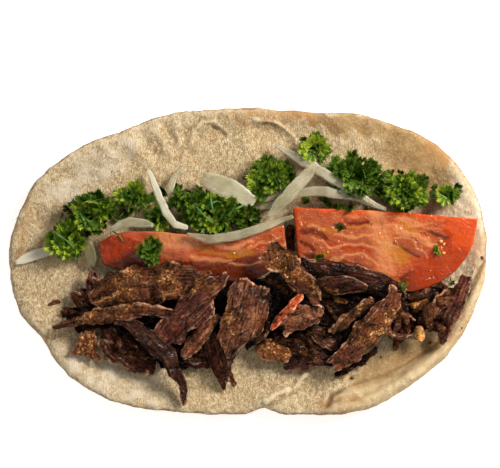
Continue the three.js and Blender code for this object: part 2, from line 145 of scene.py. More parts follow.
def remesh(piece: Piece, voxel: float, rounds: int = 0) -> None:
    """Give a piece an even skin of small faces.

    Args:
        piece: the piece to change.
        voxel: the size of its faces, in metres.
        rounds: how many times the skin is smoothed.
    """
    use_modifier(piece, "REMESH", mode="VOXEL", voxel_size=voxel)
    if rounds:
        use_modifier(piece, "SMOOTH", factor=0.5, iterations=rounds)


def roughen(piece: Piece, depth: float, clouds: str, size: float, group: str = "", middle: float = 0.5) -> None:
    """Give a piece the relief of a field of clouds.

    Args:
        piece: the piece to change.
        depth: the depth of the relief, in metres.
        clouds: the field's name.
        size: its noise size, in the modifier's own units.
        group: the vertex group that it is limited to.
        middle: the field's value that stays at the old surface.
    """
    texture = bpy.data.textures.get(clouds) or bpy.data.textures.new(clouds, "CLOUDS")
    texture.noise_scale = size
    texture.noise_depth = 2
    use_modifier(piece, "DISPLACE", strength=depth, mid_level=middle, vertex_group=group, texture=texture)


def read_vectors(source: object, name: str) -> Array:
    """Read a vector for each item of a mesh's list.

    Args:
        source: the list, such as the vertices.
        name: which of its values.

    Returns:
        A row for each item.
    """
    flat = np.empty(len(source) * 3, np.float32)
    source.foreach_get(name, flat)
    return flat.reshape(-1, 3)


def places(piece: Piece) -> Array:
    """Return the places of the piece's vertices, in millimetres."""
    return read_vectors(piece.data.vertices, "co") / MM


def set_places(piece: Piece, points: Array) -> None:
    """Move the piece's vertices to places given in millimetres."""
    piece.data.vertices.foreach_set("co", (points * MM).astype(np.float32).ravel())
    piece.data.update()


def facings(piece: Piece) -> Array:
    """Return the normals of the piece's vertices."""
    return read_vectors(piece.data.vertex_normals, "vector")


def standing_out(piece: Piece, rounds: int = 4) -> Array:
    """Give how far each vertex stands out from the surface around it.

    Args:
        piece: the piece to measure.
        rounds: how many steps of its mesh the surroundings reach.

    Returns:
        A height for each vertex, in millimetres: above 0 on edges, below it in creases.
    """
    points = places(piece)
    ends = np.empty(len(piece.data.edges) * 2, np.int32)
    piece.data.edges.foreach_get("vertices", ends)
    first = np.concatenate([ends[0::2], ends[1::2]])
    second = np.concatenate([ends[1::2], ends[0::2]])
    number = np.maximum(np.bincount(first, minlength=len(points)), 1)
    around = points
    for _ in range(rounds):
        sums = [np.bincount(first, around[second, axis], minlength=len(points)) for axis in range(3)]
        around = np.stack(sums, axis=1) / number[:, None]
    return ((points - around) * facings(piece)).sum(axis=1)


def paint(piece: Piece, **layers: Array | float) -> None:
    """Store numbers for each vertex under names that materials can read.

    Args:
        piece: the piece to change.
        **layers: the numbers, or one number for all, under each name.
    """
    for name, values in layers.items():
        layer = piece.data.attributes.get(name) or piece.data.attributes.new(name, "FLOAT", "POINT")
        even = np.broadcast_to(values, len(piece.data.vertices))
        layer.data.foreach_set("value", np.ascontiguousarray(even, np.float32))


def weigh(piece: Piece, name: str, values: Array, steps: int = 16) -> str:
    """Fill a vertex group from an array of weights.

    Args:
        piece: the piece to change.
        name: the group's name.
        values: a weight for each vertex, from 0 to 1.
        steps: how many levels the weights are rounded to.

    Returns:
        The group's name.
    """
    group = piece.vertex_groups.get(name) or piece.vertex_groups.new(name=name)
    levels = np.rint(np.clip(values, 0, 1) * steps).astype(int)
    for level in range(1, steps + 1):
        chosen = np.flatnonzero(levels == level)
        if len(chosen):
            group.add(chosen.tolist(), level / steps, "REPLACE")
    return name


def ripple(points: Array, size: float, seed: int, waves: int = 14) -> Array:
    """Give a smooth random field over points, as a sum of waves in random directions.

    Args:
        points: places in millimetres.
        size: the size of the field's lumps, in millimetres.
        seed: which field to give.
        waves: how many waves are summed.

    Returns:
        A value for each point, mostly from -1 to 1.
    """
    draw = np.random.default_rng(seed)
    directions = draw.normal(size=(waves, points.shape[1])) * (math.pi / size)
    phases = draw.uniform(0, 2 * math.pi, waves)
    return np.sin(points @ directions.T + phases).sum(axis=1) * math.sqrt(2 / waves) / 1.6


def sway(points: Array, size: float, seed: int) -> Array:
    """Give a random sideways shift for each point, of about 1 millimetre."""
    return np.stack([ripple(points, size, seed), ripple(points, size, seed + 1), np.zeros(len(points))], axis=1)


def bell(distance: Array, width: float) -> Array:
    """Give 1 at no distance, falling smoothly to nothing past the width."""
    return np.exp(-((distance / width) ** 2))


def ease(values: Array) -> Array:
    """Clamp to 0 and 1 and smooth both ends."""
    t = np.clip(values, 0, 1)
    return t * t * (3 - 2 * t)


def line_distance(points: Array, line: tuple[Point, ...]) -> Array:
    """Give the distance over the ground from each point to a bent line.

    Args:
        points: places in millimetres.
        line: the corners of the line, in millimetres.

    Returns:
        A distance for each point, in millimetres.
    """
    flat = points[:, :2]
    best = np.full(len(points), np.inf)
    for start, end in zip(line, line[1:]):
        a = np.array(start)
        run = np.array(end) - a
        share = np.clip(((flat - a) @ run) / (run @ run), 0, 1)
        best = np.minimum(best, np.linalg.norm(flat - a - share[:, None] * run, axis=1))
    return best


def finish_piece(piece: Piece, slot: str, material: Material, *nodes: str, smooth: bool = True) -> None:
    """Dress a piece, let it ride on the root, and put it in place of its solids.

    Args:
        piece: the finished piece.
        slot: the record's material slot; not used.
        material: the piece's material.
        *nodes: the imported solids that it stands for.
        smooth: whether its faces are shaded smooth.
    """
    if smooth:
        only(piece)
        bpy.ops.object.shade_smooth()
    piece.data.materials.clear()
    piece.data.materials.append(material)
    for group in list(piece.vertex_groups):
        piece.vertex_groups.remove(group)
    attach(piece, "root")
    if nodes:
        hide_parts(*nodes)
    LOG.info("%s: %d vertices", piece.name, len(piece.data.vertices))


def copy_shape(pattern: Piece) -> Piece:
    """Copy a shape with its own mesh.

    Args:
        pattern: the shape to copy.

    Returns:
        The copy.
    """
    piece = pattern.copy()
    piece.data = pattern.data.copy()
    bpy.context.scene.collection.objects.link(piece)
    return piece


def join_shapes(name: str, shapes: list[Piece]) -> Piece:
    """Join shapes into one piece at the origin.

    Args:
        name: the piece's name.
        shapes: what to join.

    Returns:
        The piece.
    """
    only(*shapes)
    bpy.ops.object.join()
    bpy.ops.object.transform_apply(location=True, rotation=True, scale=True)
    piece = bpy.context.object
    piece.name = name
    return piece


def unit_ball(detail: int) -> Piece:
    """Model a ball of radius 1 metre.

    Args:
        detail: how many times its faces are divided.

    Returns:
        The ball.
    """
    bpy.ops.object.select_all(action="DESELECT")
    bpy.ops.mesh.primitive_ico_sphere_add(subdivisions=detail, radius=1.0)
    return bpy.context.object


@dataclass(frozen=True)
class Mark:
    """An oval on the ground plane, with a height to raise or sink it by."""

    centre: Point
    radii: Point
    turn: float = 0.0
    height: float = 0.0
    soft: float = 0.8

    def mask(self, points: Array) -> Array:
        """Give 1 inside the oval and 0 outside it.

        Args:
            points: places in millimetres.

        Returns:
            A mask value for each point.
        """
        angle = math.radians(self.turn)
        offset = points[:, :2] - np.array(self.centre)
        along = offset @ np.array([math.cos(angle), math.sin(angle)]) / self.radii[0]
        across = offset @ np.array([-math.sin(angle), math.cos(angle)]) / self.radii[1]
        return ease((1 - np.hypot(along, across)) / self.soft + 0.5)

    def pick(self, draw: random.Random) -> Point:
        """Pick a place inside the oval.

        Args:
            draw: the random source.

        Returns:
            The place.
        """
        turn = math.radians(self.turn)
        angle = draw.uniform(0, 2 * math.pi)
        reach = math.sqrt(draw.random())
        along = self.radii[0] * reach * math.cos(angle)
        across = self.radii[1] * reach * math.sin(angle)
        x = self.centre[0] + along * math.cos(turn) - across * math.sin(turn)
        return x, self.centre[1] + along * math.sin(turn) + across * math.cos(turn)


@dataclass(frozen=True)
class Seam:
    """A bent line on the ground plane: its half width, and a height to raise or sink it by."""

    line: tuple[Point, ...]
    width: float
    height: float = 0.0

    def mask(self, points: Array) -> Array:
        """Give 1 on the line, falling to 0 past its width."""
        return bell(line_distance(points, self.line), self.width)


Face = dict[str, tuple[Mark | Seam, ...]]  # what shows on a face, by finish


# ------------------------ shader groups


class Graph:
    """A short way to write a node tree: each method adds a node and returns its output."""

    def __init__(self, tree: Tree) -> None:
        """Write into the given tree."""
        self.tree = tree

    def node(self, kind: str, **settings: object) -> Node:
        """Add a node.

        Args:
            kind: the node's type.
            **settings: the node's own values.

        Returns:
            The node.
        """
        made = self.tree.nodes.new(kind)
        for key, value in settings.items():
            setattr(made, key, value)
        return made

    def feed(self, sockets: object, values: dict[int | str, object]) -> None:
        """Link outputs to sockets, or set plain values on them.

        Args:
            sockets: a node's inputs.
            values: what to feed, by the input's name or number; None is left out.
        """
        for key, value in values.items():
            if isinstance(value, Output):
                self.tree.links.new(value, sockets[key])
            elif value is not None:
                colour = sockets[key].type == "RGBA" and len(value) == 3
                sockets[key].default_value = (*value, 1.0) if colour else value

    def add(self, kind: str, output: int | str, values: dict[int | str, object], **settings: object) -> Output:
        """Add a node and feed its inputs.

        Args:
            kind: the node's type, without its usual start.
            output: the output to return, by name or number.
            values: what to feed, by the input's name or number.
            **settings: the node's own values.

        Returns:
            The output.
        """
        made = self.node("ShaderNode" + kind, **settings)
        self.feed(made.inputs, values)
        return made.outputs[output]

    def attribute(self, name: str, output: str = "Fac") -> Output:
        """Read a value that is stored on the mesh."""
        return self.add("Attribute", output, {}, attribute_name=name)

    def own_place(self, scale: float = 1 / MM) -> Output:
        """Give the Object coordinates, in millimetres unless scaled otherwise."""
        return self.stretch(self.add("TexCoord", "Object", {}), (scale, scale, scale))

    def stretch(self, vector: object, by: Triple) -> Output:
        """Scale a vector along its three axes."""
        return self.add("VectorMath", 0, {0: vector, 1: by}, operation="MULTIPLY")

    def maths(self, operation: str, a: object, b: object, clamp: bool = False) -> Output:
        """Do one sum on two numbers."""
        return self.add("Math", 0, {0: a, 1: b}, operation=operation, use_clamp=clamp)

    def times(self, a: object, b: object) -> Output:
        """Multiply two numbers."""
        return self.maths("MULTIPLY", a, b)

    def plus(self, a: object, b: object) -> Output:
        """Add two numbers."""
        return self.maths("ADD", a, b)

    def minus(self, a: object, b: object) -> Output:
        """Take the second number from the first."""
        return self.maths("SUBTRACT", a, b)

    def noise(self, vector: object, scale: object, detail: float = 3.0, rough: float = 0.55,
              distortion: float = 0.0) -> Output:
        """Give a noise field of one number."""
        return self.add("TexNoise", "Fac", {"Vector": vector, "Scale": scale, "Detail": detail,
                                            "Roughness": rough, "Distortion": distortion})

    def between(self, value: object, low: object, high: object) -> Output:
        """Give 0 below low and 1 above high, smooth in between."""
        return self.add("MapRange", 0, {0: value, 1: low, 2: high}, interpolation_type="SMOOTHSTEP")

    def span(self, value: object, low: object, high: object) -> Output:
        """Turn a value from 0 to 1 into one from low to high."""
        return self.add("MapRange", 0, {"Value": value, "To Min": low, "To Max": high})

    def mix(self, share: object, a: object, b: object) -> Output:
        """Mix two colours by a share."""
        return self.add("Mix", 2, {"Factor": share, 6: a, 7: b}, data_type="RGBA")

    def coats(self, colour: object, *coats: tuple[object, object]) -> Output:
        """Lay tints over a colour, one after the other.

        Args:
            colour: the colour below.
            *coats: a share and a tint for each coat.

        Returns:
            The colour with its coats.
        """
        for share, tint in coats:
            colour = self.mix(share, colour, tint)
        return colour

    def scale(self, colour: object, by: object) -> Output:
        """Lighten or darken a colour by a factor."""
        return self.add("VectorMath", 0, {0: colour, "Scale": by}, operation="SCALE")

    def bump(self, height: object, depth: float) -> Output:
        """Turn a height field into normals, its full depth given in metres."""
        return self.add("Bump", "Normal", {"Distance": depth, "Height": height})

    def group(self, tree: Tree, **values: object) -> bpy.types.NodeOutputs:
        """Place a shader group with its own values.

        Args:
            tree: the group.
            **values: what to feed its inputs.

        Returns:
            The group's outputs.
        """
        made = self.node("ShaderNodeGroup", node_tree=tree)
        self.feed(made.inputs, values)
        return made.outputs


def start_group(name: str, inputs: dict[str, float | None], outputs: tuple[str, ...]) -> tuple[Graph, Node, Node]:
    """Make a shader group with its named sockets.

    Args:
        name: the group's name.
        inputs: each input's usual value, or None for a vector.
        outputs: the names of its outputs, all of them numbers.

    Returns:
        A graph to write into, the group's input node and its output node.
    """
    tree = bpy.data.node_groups.new(name, "ShaderNodeTree")
    for label, value in inputs.items():
        kind = "NodeSocketVector" if value is None else "NodeSocketFloat"
        socket = tree.interface.new_socket(label, in_out="INPUT", socket_type=kind)
        if value is not None:
            socket.default_value = value
    for label in outputs:
        tree.interface.new_socket(label, in_out="OUTPUT", socket_type="NodeSocketFloat")
    graph = Graph(tree)
    return graph, graph.node("NodeGroupInput"), graph.node("NodeGroupOutput")


@cache
def fibre_group() -> Tree:
    """Build the group of long fibres along a grain.

    Returns:
        A group that gives coarse strands, fine threads and their height.
    """
    graph, into, out = start_group("grain fibres", {"Grain": None, "Strand": 1.4, "Stretch": 9.0, "Waver": 0.6},
                                   ("Strands", "Threads", "Height"))
    grain, strand, stretch, most = into.outputs[:4]
    parts = graph.node("ShaderNodeSeparateXYZ")
    graph.feed(parts.inputs, {0: grain})
    wander = graph.noise(graph.stretch(grain, (0.05, 0.12, 0.12)), 1.0, 2.0)
    waver = graph.times(graph.minus(wander, 0.5), most)
    along = graph.maths("DIVIDE", parts.outputs[0], stretch)
    across = graph.plus(parts.outputs[1], graph.times(waver, 6.0))
    place = graph.add("CombineXYZ", 0, {0: along, 1: across, 2: parts.outputs[2]})
    rate = graph.maths("DIVIDE", 1.0, strand)
    strands = graph.noise(place, rate, 2.0, 0.5)
    threads = graph.noise(place, graph.times(rate, 3.2), 3.0, 0.6)
    graph.feed(out.inputs, {
        "Strands": graph.between(strands, 0.36, 0.64), "Threads": graph.between(threads, 0.35, 0.68),
        "Height": graph.plus(graph.times(strands, 0.65), graph.times(threads, 0.35)),
    })
    return graph.tree


@cache
def mottle_group() -> Tree:
    """Build the group of uneven patches.

    Returns:
        A group that gives a mask of patches with broken edges, and fine speckle.
    """
    graph, into, out = start_group("mottle", {"Place": None, "Size": 8.0, "Cover": 0.5, "Edge": 0.08},
                                   ("Patches", "Speckle"))
    place, size, cover, edge = into.outputs[:4]
    rate = graph.maths("DIVIDE", 1.0, size)
    patches = graph.noise(place, rate, 5.0, 0.62, 0.3)
    middle = graph.minus(1.0, cover)
    speckle = graph.noise(place, graph.times(rate, 9.0), 2.0, 0.6)
    graph.feed(out.inputs, {
        "Patches": graph.between(patches, graph.minus(middle, edge), graph.plus(middle, edge)),
        "Speckle": graph.between(speckle, 0.42, 0.62),
    })
    return graph.tree


@cache
def crumb_group() -> Tree:
    """Build the group of torn crumb: short pale strokes between small pits.

    Returns:
        A group that gives strokes, pits and their height.
    """
    graph, into, out = start_group("torn crumb", {"Place": None, "Stroke": 1.0}, ("Strokes", "Pits", "Height"))
    place, stroke = into.outputs[:2]
    rate = graph.maths("DIVIDE", 1.0, stroke)
    leans = []
    for degrees in (40.0, -24.0, 82.0):
        leaning = graph.add("Mapping", 0, {"Vector": place, "Rotation": (0.0, 0.0, math.radians(degrees)),
                                           "Scale": (1.0, 0.42, 1.0)})
        leans.append(graph.noise(leaning, rate, 2.0, 0.6, 0.4))
    strokes = graph.maths("MAXIMUM", graph.maths("MAXIMUM", leans[0], leans[1]), leans[2])
    fine = graph.noise(place, graph.times(rate, 1.7), 2.0, 0.6)
    pits = graph.noise(place, graph.times(rate, 0.8), 2.0, 0.55)
    height = graph.plus(graph.times(strokes, 0.7), graph.times(fine, 0.3))
    graph.feed(out.inputs, {"Strokes": graph.between(height, 0.5, 0.66), "Pits": graph.between(pits, 0.5, 0.36),
                            "Height": height})
    return graph.tree


# ------------------------ finishes


def make_material(name: str, dress: Callable[[Graph], dict[str, object]]) -> Material:
    """Make a material with one Principled shader.

    Args:
        name: the material's name.
        dress: what writes its nodes and gives what to feed the shader.

    Returns:
        The finished material.
    """
    material = bpy.data.materials.new(name)
    material.use_nodes = True
    graph = Graph(material.node_tree)
    graph.feed(material.node_tree.nodes["Principled BSDF"].inputs, dress(graph))
    return material


@dataclass(frozen=True)
class BreadFinish:
    """Torn pita crumb above and baked crust below."""

    tan: Colour = (0.54, 0.365, 0.165)
    grey: Colour = (0.45, 0.315, 0.155)
    pale: Colour = (0.90, 0.75, 0.50)
    pit: Colour = (0.22, 0.115, 0.042)
    smooth: Colour = (0.25, 0.14, 0.048)
    oily: Colour = (0.36, 0.22, 0.085)
    flour: Colour = (0.80, 0.68, 0.51)
    toast: Colour = (0.45, 0.23, 0.085)
    rim: Colour = (0.26, 0.13, 0.05)
    cream: Colour = (0.75, 0.575, 0.32)
    crust: Colour = (0.50, 0.32, 0.145)

    def dress(self, graph: Graph) -> dict[str, object]:
        """Write the nodes.

        Args:
            graph: the material's graph.

        Returns:
            What to feed the shader.
        """
        place = graph.own_place()
        crumb = graph.group(crumb_group(), Place=place, Stroke=0.62)
        broad = graph.group(mottle_group(), Place=place, Size=26.0, Cover=0.5, Edge=0.16)
        small = graph.group(mottle_group(), Place=place, Size=7.0, Cover=0.46, Edge=0.1)
        torn = graph.coats(
            graph.mix(broad["Patches"], self.tan, self.grey),
            (graph.times(crumb["Strokes"], 0.9), self.pale), (graph.times(crumb["Pits"], 0.5), self.pit),
            # Paler on what stands out of the crumb and browner in its hollows, at a fine and a broad scale: painted
            # highlight and painted shade.
            (graph.times(graph.attribute("ridge"), 0.5), self.pale),
            (graph.times(graph.attribute("hollow"), 0.4), self.pit),
            (graph.times(graph.attribute("high"), 0.35), self.pale),
            (graph.times(graph.attribute("low"), 0.3), self.pit),
        )
        bare = graph.times(graph.attribute("bare"), graph.span(broad["Speckle"], 1.0, 0.8))
        plain = graph.mix(graph.between(graph.noise(place, 0.12, 3.0, 0.6), 0.35, 0.65), self.smooth, self.oily)
        plain = graph.mix(graph.times(small["Speckle"], 0.22), plain, torn)
        browning = graph.times(graph.attribute("toast"), graph.span(small["Patches"], 0.5, 1.0))
        below = graph.mix(small["Patches"], self.crust, self.cream)
        below = graph.mix(graph.times(broad["Patches"], 0.5), below, self.toast)
        colour = graph.coats(
            torn, (bare, plain),
            (graph.times(graph.attribute("flour"), graph.span(small["Patches"], 0.25, 0.9)), self.flour),
            (graph.times(graph.attribute("lip"), 0.55), self.cream), (graph.times(browning, 0.7), self.toast),
            # Painted shade along the groove inside the lip.
            (graph.times(graph.attribute("seam"), graph.span(small["Patches"], 0.9, 0.5)), self.pit),
            (graph.times(graph.attribute("rim"), graph.span(small["Speckle"], 0.9, 0.45)), self.rim),
            (graph.attribute("under"), below),
        )
        covered = graph.minus(1.0, graph.times(bare, 0.85))
        return {"Base Color": colour, "Roughness": graph.span(crumb["Strokes"], 0.92, 0.74),
                "Specular IOR Level": 0.25, "Subsurface Weight": 0.12, "Subsurface Scale": 0.6,
                "Subsurface Radius": (0.003, 0.0018, 0.0008),
                "Normal": graph.bump(graph.times(crumb["Height"], covered), 1.3 * MM)}


@dataclass(frozen=True)
class MeatFinish:
    """Roast shaving: lengthwise fibres, crusted patches with golden grains, a thin film of fat, painted shade in
    its grooves and deep in the heap, and a pale rim that is partly painted highlight.
    """

    name: str
    lean: Colour
    thread: Colour
    deep: Colour = (0.009, 0.0028, 0.0014)
    warm: Colour = (0.15, 0.046, 0.014)
    crust: Colour = (0.15, 0.05, 0.016)
    char: Colour = (0.012, 0.0036, 0.0016)
    roast: Colour = (0.19, 0.062, 0.019)
    golden: Colour = (0.38, 0.15, 0.042)
    bright: Colour = (0.88, 0.47, 0.19)
    # pale: the rim's colour, partly the shaving's dried edge and partly painted highlight.
    pale: Colour = (0.66, 0.35, 0.20)
    fibre: float = 0.55

    def dress(self, graph: Graph) -> dict[str, object]:
        """Write the nodes.

        Args:
            graph: the material's graph.

        Returns:
            What to feed the shader.
        """
        place = graph.own_place()
        golden = graph.attribute("golden")
        fibres = graph.group(fibre_group(), Grain=graph.attribute("grain", "Vector"), Strand=0.72, Stretch=22.0,
                             Waver=0.4)
        calm = graph.between(graph.noise(place, 0.2, 2.0, 0.5, 0.5), 0.36, 0.6)
        broad = graph.noise(place, 0.14, 3.0, 0.6, 0.8)
        lean = graph.coats(
            # The strand value is low between strands, in folds and in hollows, where the lean turns deep: partly
            # the fibres' own dark, partly painted shade.
            graph.mix(graph.between(graph.attribute("strand"), 0.0, 0.75), self.deep, self.lean),
            (graph.times(graph.between(broad, 0.52, 0.66), 0.75), self.warm),
            (graph.times(graph.between(broad, 0.48, 0.36), 0.85), self.deep),
            (graph.times(fibres["Strands"], graph.span(calm, 0.1, self.fibre)), self.thread),
            (graph.times(fibres["Threads"], graph.span(calm, 0.1, 0.6)), self.deep),
        )
        grit = graph.group(mottle_group(), Place=place, Size=2.4, Cover=0.5, Edge=0.12)
        grains = graph.noise(place, 1.25, 4.0, 0.75, 0.5)
        lumps = graph.times(graph.minus(graph.noise(place, 0.34, 2.0, 0.6, 0.5), 0.5), 0.75)
        least = graph.minus(graph.span(golden, 0.63, 0.53), lumps)
        specks = graph.between(grains, graph.minus(least, 0.08), graph.plus(least, 0.1))
        peaks = graph.between(grains, graph.plus(least, 0.05), graph.plus(least, 0.17))
        browned = graph.coats(
            graph.mix(grit["Patches"], self.char, self.crust), (graph.times(golden, 0.62), self.roast),
            (graph.times(specks, 0.85), self.golden), (peaks, self.bright),
        )
        share = graph.between(graph.attribute("crust"), 0.25, 0.7)
        colour = graph.coats(
            lean, (graph.times(share, 0.94), browned),
            # A pale rim where the shaving stands out: partly its dried edge, partly painted highlight.
            (graph.times(graph.attribute("edge"), graph.span(grit["Speckle"], 0.3, 0.95)), self.pale),
        )
        mottled = graph.span(graph.between(graph.noise(place, 0.85, 4.0, 0.72), 0.34, 0.66), 0.34, 1.7)
        film = graph.between(graph.noise(place, 0.5, 3.0, 0.65), 0.46, 0.6)
        wet = graph.times(film, graph.between(graph.noise(place, 2.0, 2.0, 0.6), 0.52, 0.62))
        rough = graph.times(graph.between(grains, 0.35, 0.65), share)
        height = graph.plus(graph.times(fibres["Height"], 0.8), graph.times(rough, 0.7))
        return {"Base Color": graph.scale(colour, graph.times(graph.attribute("light"), mottled)),
                "Roughness": graph.span(wet, 0.6, 0.16), "Specular IOR Level": graph.span(wet, 0.02, 0.75),
                "Normal": graph.bump(height, 0.7 * MM)}


@dataclass(frozen=True)
class TomatoFinish:
    """Wet cut tomato: rosy flesh, pale walls, orange gel in its chambers and a red rim, with painted shade in the
    creases of its cut face.
    """

    flesh: Colour = (0.38, 0.062, 0.016)
    blush: Colour = (0.55, 0.11, 0.028)
    wall: Colour = (0.70, 0.27, 0.10)
    gel: Colour = (0.36, 0.032, 0.002)
    deep: Colour = (0.10, 0.012, 0.002)
    amber: Colour = (0.43, 0.15, 0.011)
    mauve: Colour = (0.30, 0.060, 0.020)
    shade: Colour = (0.115, 0.013, 0.0022)
    skin: Colour = (0.46, 0.028, 0.005)
    vivid: Colour = (0.68, 0.075, 0.008)
    grain: Triple = (0.3, 1.0, 1.0)

    def dress(self, graph: Graph) -> dict[str, object]:
        """Write the nodes.

        Args:
            graph: the material's graph.

        Returns:
            What to feed the shader.
        """
        place = graph.own_place()
        drawn = graph.stretch(place, self.grain)
        streaks = graph.noise(drawn, 0.5, 4.0, 0.6, 1.4)
        cloudy = graph.noise(place, 0.16, 3.0, 0.55, 0.8)
        fine = graph.noise(place, 1.3, 3.0, 0.6, 0.5)
        veins = graph.noise(drawn, 1.1, 3.0, 0.6, 2.2)
        colour = graph.coats(
            graph.mix(graph.between(cloudy, 0.35, 0.68), self.flesh, self.blush),
            (graph.times(graph.between(streaks, 0.48, 0.34), 0.4), self.mauve),
            (graph.times(graph.between(streaks, 0.52, 0.68), 0.45), self.wall),
            (graph.times(graph.between(veins, 0.54, 0.64), 0.5), self.wall),
            (graph.times(graph.between(veins, 0.46, 0.36), 0.5), self.gel),
        )
        for layer, tint, strength in (
            ("mauve", self.mauve, 0.6), ("vivid", self.vivid, 0.8), ("shade", self.shade, 0.9),
            ("gel", self.gel, 0.85), ("amber", self.amber, 0.75), ("pale", self.wall, 0.6),
            # crease is painted shade in the creases of the cut face.
            ("deep", self.deep, 0.85), ("crease", self.shade, 0.2), ("skin", self.skin, 0.85),
        ):
            broken = graph.maths("MULTIPLY", graph.attribute(layer), graph.span(streaks, 2.0, 0.8), clamp=True)
            colour = graph.mix(graph.times(broken, strength), colour, tint)
        colour = graph.mix(graph.times(graph.between(fine, 0.6, 0.72), 0.16), colour, self.wall)
        beads = graph.noise(place, 0.4, 2.0, 0.55, 0.8)
        height = graph.plus(graph.times(beads, 0.85), graph.times(fine, 0.15))
        return {"Base Color": colour, "Roughness": graph.span(graph.between(fine, 0.4, 0.6), 0.2, 0.08),
                "Specular IOR Level": graph.span(graph.between(streaks, 0.4, 0.6), 0.12, 0.55),
                "Subsurface Weight": 0.25, "Subsurface Radius": (0.003, 0.0008, 0.0003),
                "Subsurface Scale": 0.5, "Normal": graph.bump(height, 0.7 * MM)}


@dataclass(frozen=True)
class OnionFinish:
    """Raw onion, half clear, with veins along the sliver, and a painted highlight along its edges."""

    clear: Colour = (0.46, 0.40, 0.22)
    milky: Colour = (0.84, 0.77, 0.59)
    vein: Colour = (0.94, 0.89, 0.74)
    green: Colour = (0.48, 0.47, 0.20)

    def dress(self, graph: Graph) -> dict[str, object]:
        """Write the nodes.

        Args:
            graph: the material's graph.

        Returns:
            What to feed the shader.
        """
        place = graph.own_place()
        veins = graph.group(fibre_group(), Grain=graph.attribute("grain", "Vector"), Strand=1.8, Stretch=60.0,
                            Waver=0.05)
        milk = graph.minus(graph.noise(place, 0.09, 3.0, 0.6, 0.4), 0.5)
        cloud = graph.between(graph.plus(graph.attribute("milk"), milk), 0.0, 1.0)
        colour = graph.coats(
            graph.mix(cloud, self.clear, self.milky), (graph.times(veins["Strands"], 0.08), self.vein),
            (graph.times(graph.between(graph.noise(place, 0.05, 1.0), 0.4, 0.7), 0.3), self.green),
            # Painted highlight along the sliver's edges.
            (graph.times(graph.attribute("edge"), 0.6), self.vein),
        )
        return {"Base Color": colour, "Roughness": graph.span(veins["Strands"], 0.22, 0.3),
                "Specular IOR Level": 0.5, "IOR": 1.36, "Transmission Weight": graph.span(cloud, 0.75, 0.36),
                "Subsurface Weight": 0.3, "Subsurface Radius": (0.003, 0.003, 0.0018),
                "Subsurface Scale": 0.8, "Normal": graph.bump(veins["Height"], 0.02 * MM)}


@dataclass(frozen=True)
class LeafFinish:
    """Parsley leaf, from deep green inside a tuft to bright tips: painted shade inside and painted light on the
    tips, with random tone.
    """

    dark: Colour = (0.012, 0.032, 0.002)
    mid: Colour = (0.085, 0.17, 0.009)
    bright: Colour = (0.36, 0.46, 0.022)
    rib: Colour = (0.25, 0.34, 0.03)

    def dress(self, graph: Graph) -> dict[str, object]:
        """Write the nodes.

        Args:
            graph: the material's graph.

        Returns:
            What to feed the shader.
        """
        blotch = graph.noise(graph.own_place(), 0.7, 3.0, 0.6)
        tone = graph.attribute("tone")
        rib = graph.attribute("rib")
        colour = graph.coats(
            graph.mix(graph.between(tone, 0.0, 0.5), self.dark, self.mid),
            (graph.between(tone, 0.45, 1.0), self.bright),
            (graph.times(graph.between(blotch, 0.45, 0.7), 0.35), self.dark), (rib, self.rib),
        )
        dull = graph.span(graph.between(rib, 0.0, 0.3), 0.4, 0.05)
        return {"Base Color": colour, "Roughness": graph.span(blotch, 0.32, 0.55),
                "Specular IOR Level": graph.times(graph.between(tone, 0.1, 0.5), dull),
                "Subsurface Weight": 0.1, "Subsurface Radius": (0.0006, 0.0012, 0.0003),
                "Normal": graph.bump(blotch, 0.25 * MM)}


@dataclass(frozen=True)
class SpeckFinish:
    """A small thing of two mottled colours, such as a crumb or a seed."""

    name: str
    light: Colour
    dark: Colour
    size: float = 1.0
    roughness: float = 0.6
    uneven: float = 0.08

    def dress(self, graph: Graph) -> dict[str, object]:
        """Write the nodes.

        Args:
            graph: the material's graph.

        Returns:
            What to feed the shader.
        """
        spots = graph.group(mottle_group(), Place=graph.own_place(), Size=self.size, Cover=0.5, Edge=0.15)
        low, high = self.roughness - self.uneven, self.roughness + self.uneven
        return {"Base Color": graph.mix(spots["Patches"], self.light, self.dark),
                "Roughness": graph.span(spots["Speckle"], low, high)}


# ------------------------ bread


RELIEFS: dict[str, Seam] = {
    "pocket_arch": Seam(((-24.7, 52.7), (-23.9, 58.4), (-19.8, 61.6), (-14.5, 61.8), (-9.3, 57.3)), 1.2, 0.65),
    "pocket_hollow": Seam(((-19.5, 56), (-14.5, 57.4)), 3.4, -0.9),
    "pocket_slit": Seam(((-16, 60), (-12.6, 58.6), (-10.2, 56.4)), 0.8, -0.9),
    "pocket_foot": Seam(((-26.6, 50), (-27.4, 58), (-21, 64)), 2.4, -0.5),
    "flap_edge": Seam(((3.1, 62.6), (11.9, 61.6), (16.7, 58.6), (21.1, 54.6), (22, 49.3)), 0.8, 0.9),
    "flap_foot": Seam(((2, 59.8), (11, 58.8), (15, 56), (18.4, 52)), 1.8, -0.7),
    "crease_a": Seam(((7.9, -61.2), (12.3, -58.1), (17.2, -56.4)), 1.1, 1.6),
    "crease_b": Seam(((20.7, -55.1), (25.1, -49.8)), 1.1, 1.5),
    "crease_gap": Seam(((9.5, -63.4), (15, -60.4), (21, -58)), 1.2, -1.1),
    "fold_a": Seam(((-62, 49), (-55, 41)), 3.2, 0.7), "fold_b": Seam(((-52, 53), (-44, 44)), 2.8, 0.8),
    "fold_c": Seam(((-40.6, 58), (-34, 48)), 2.4, 0.7), "fold_d": Seam(((-30.6, 60), (-31, 52)), 2, 0.6),
    "dip_b": Seam(((-46.6, 57), (-39.6, 46)), 2.6, -0.7), "dip_c": Seam(((-35.6, 61), (-31, 50)), 2, -0.7),
    "fold_e": Seam(((-3, 63), (1, 50)), 3, 0.6), "fold_f": Seam(((39, 61), (43, 52)), 2.6, 0.5),
}

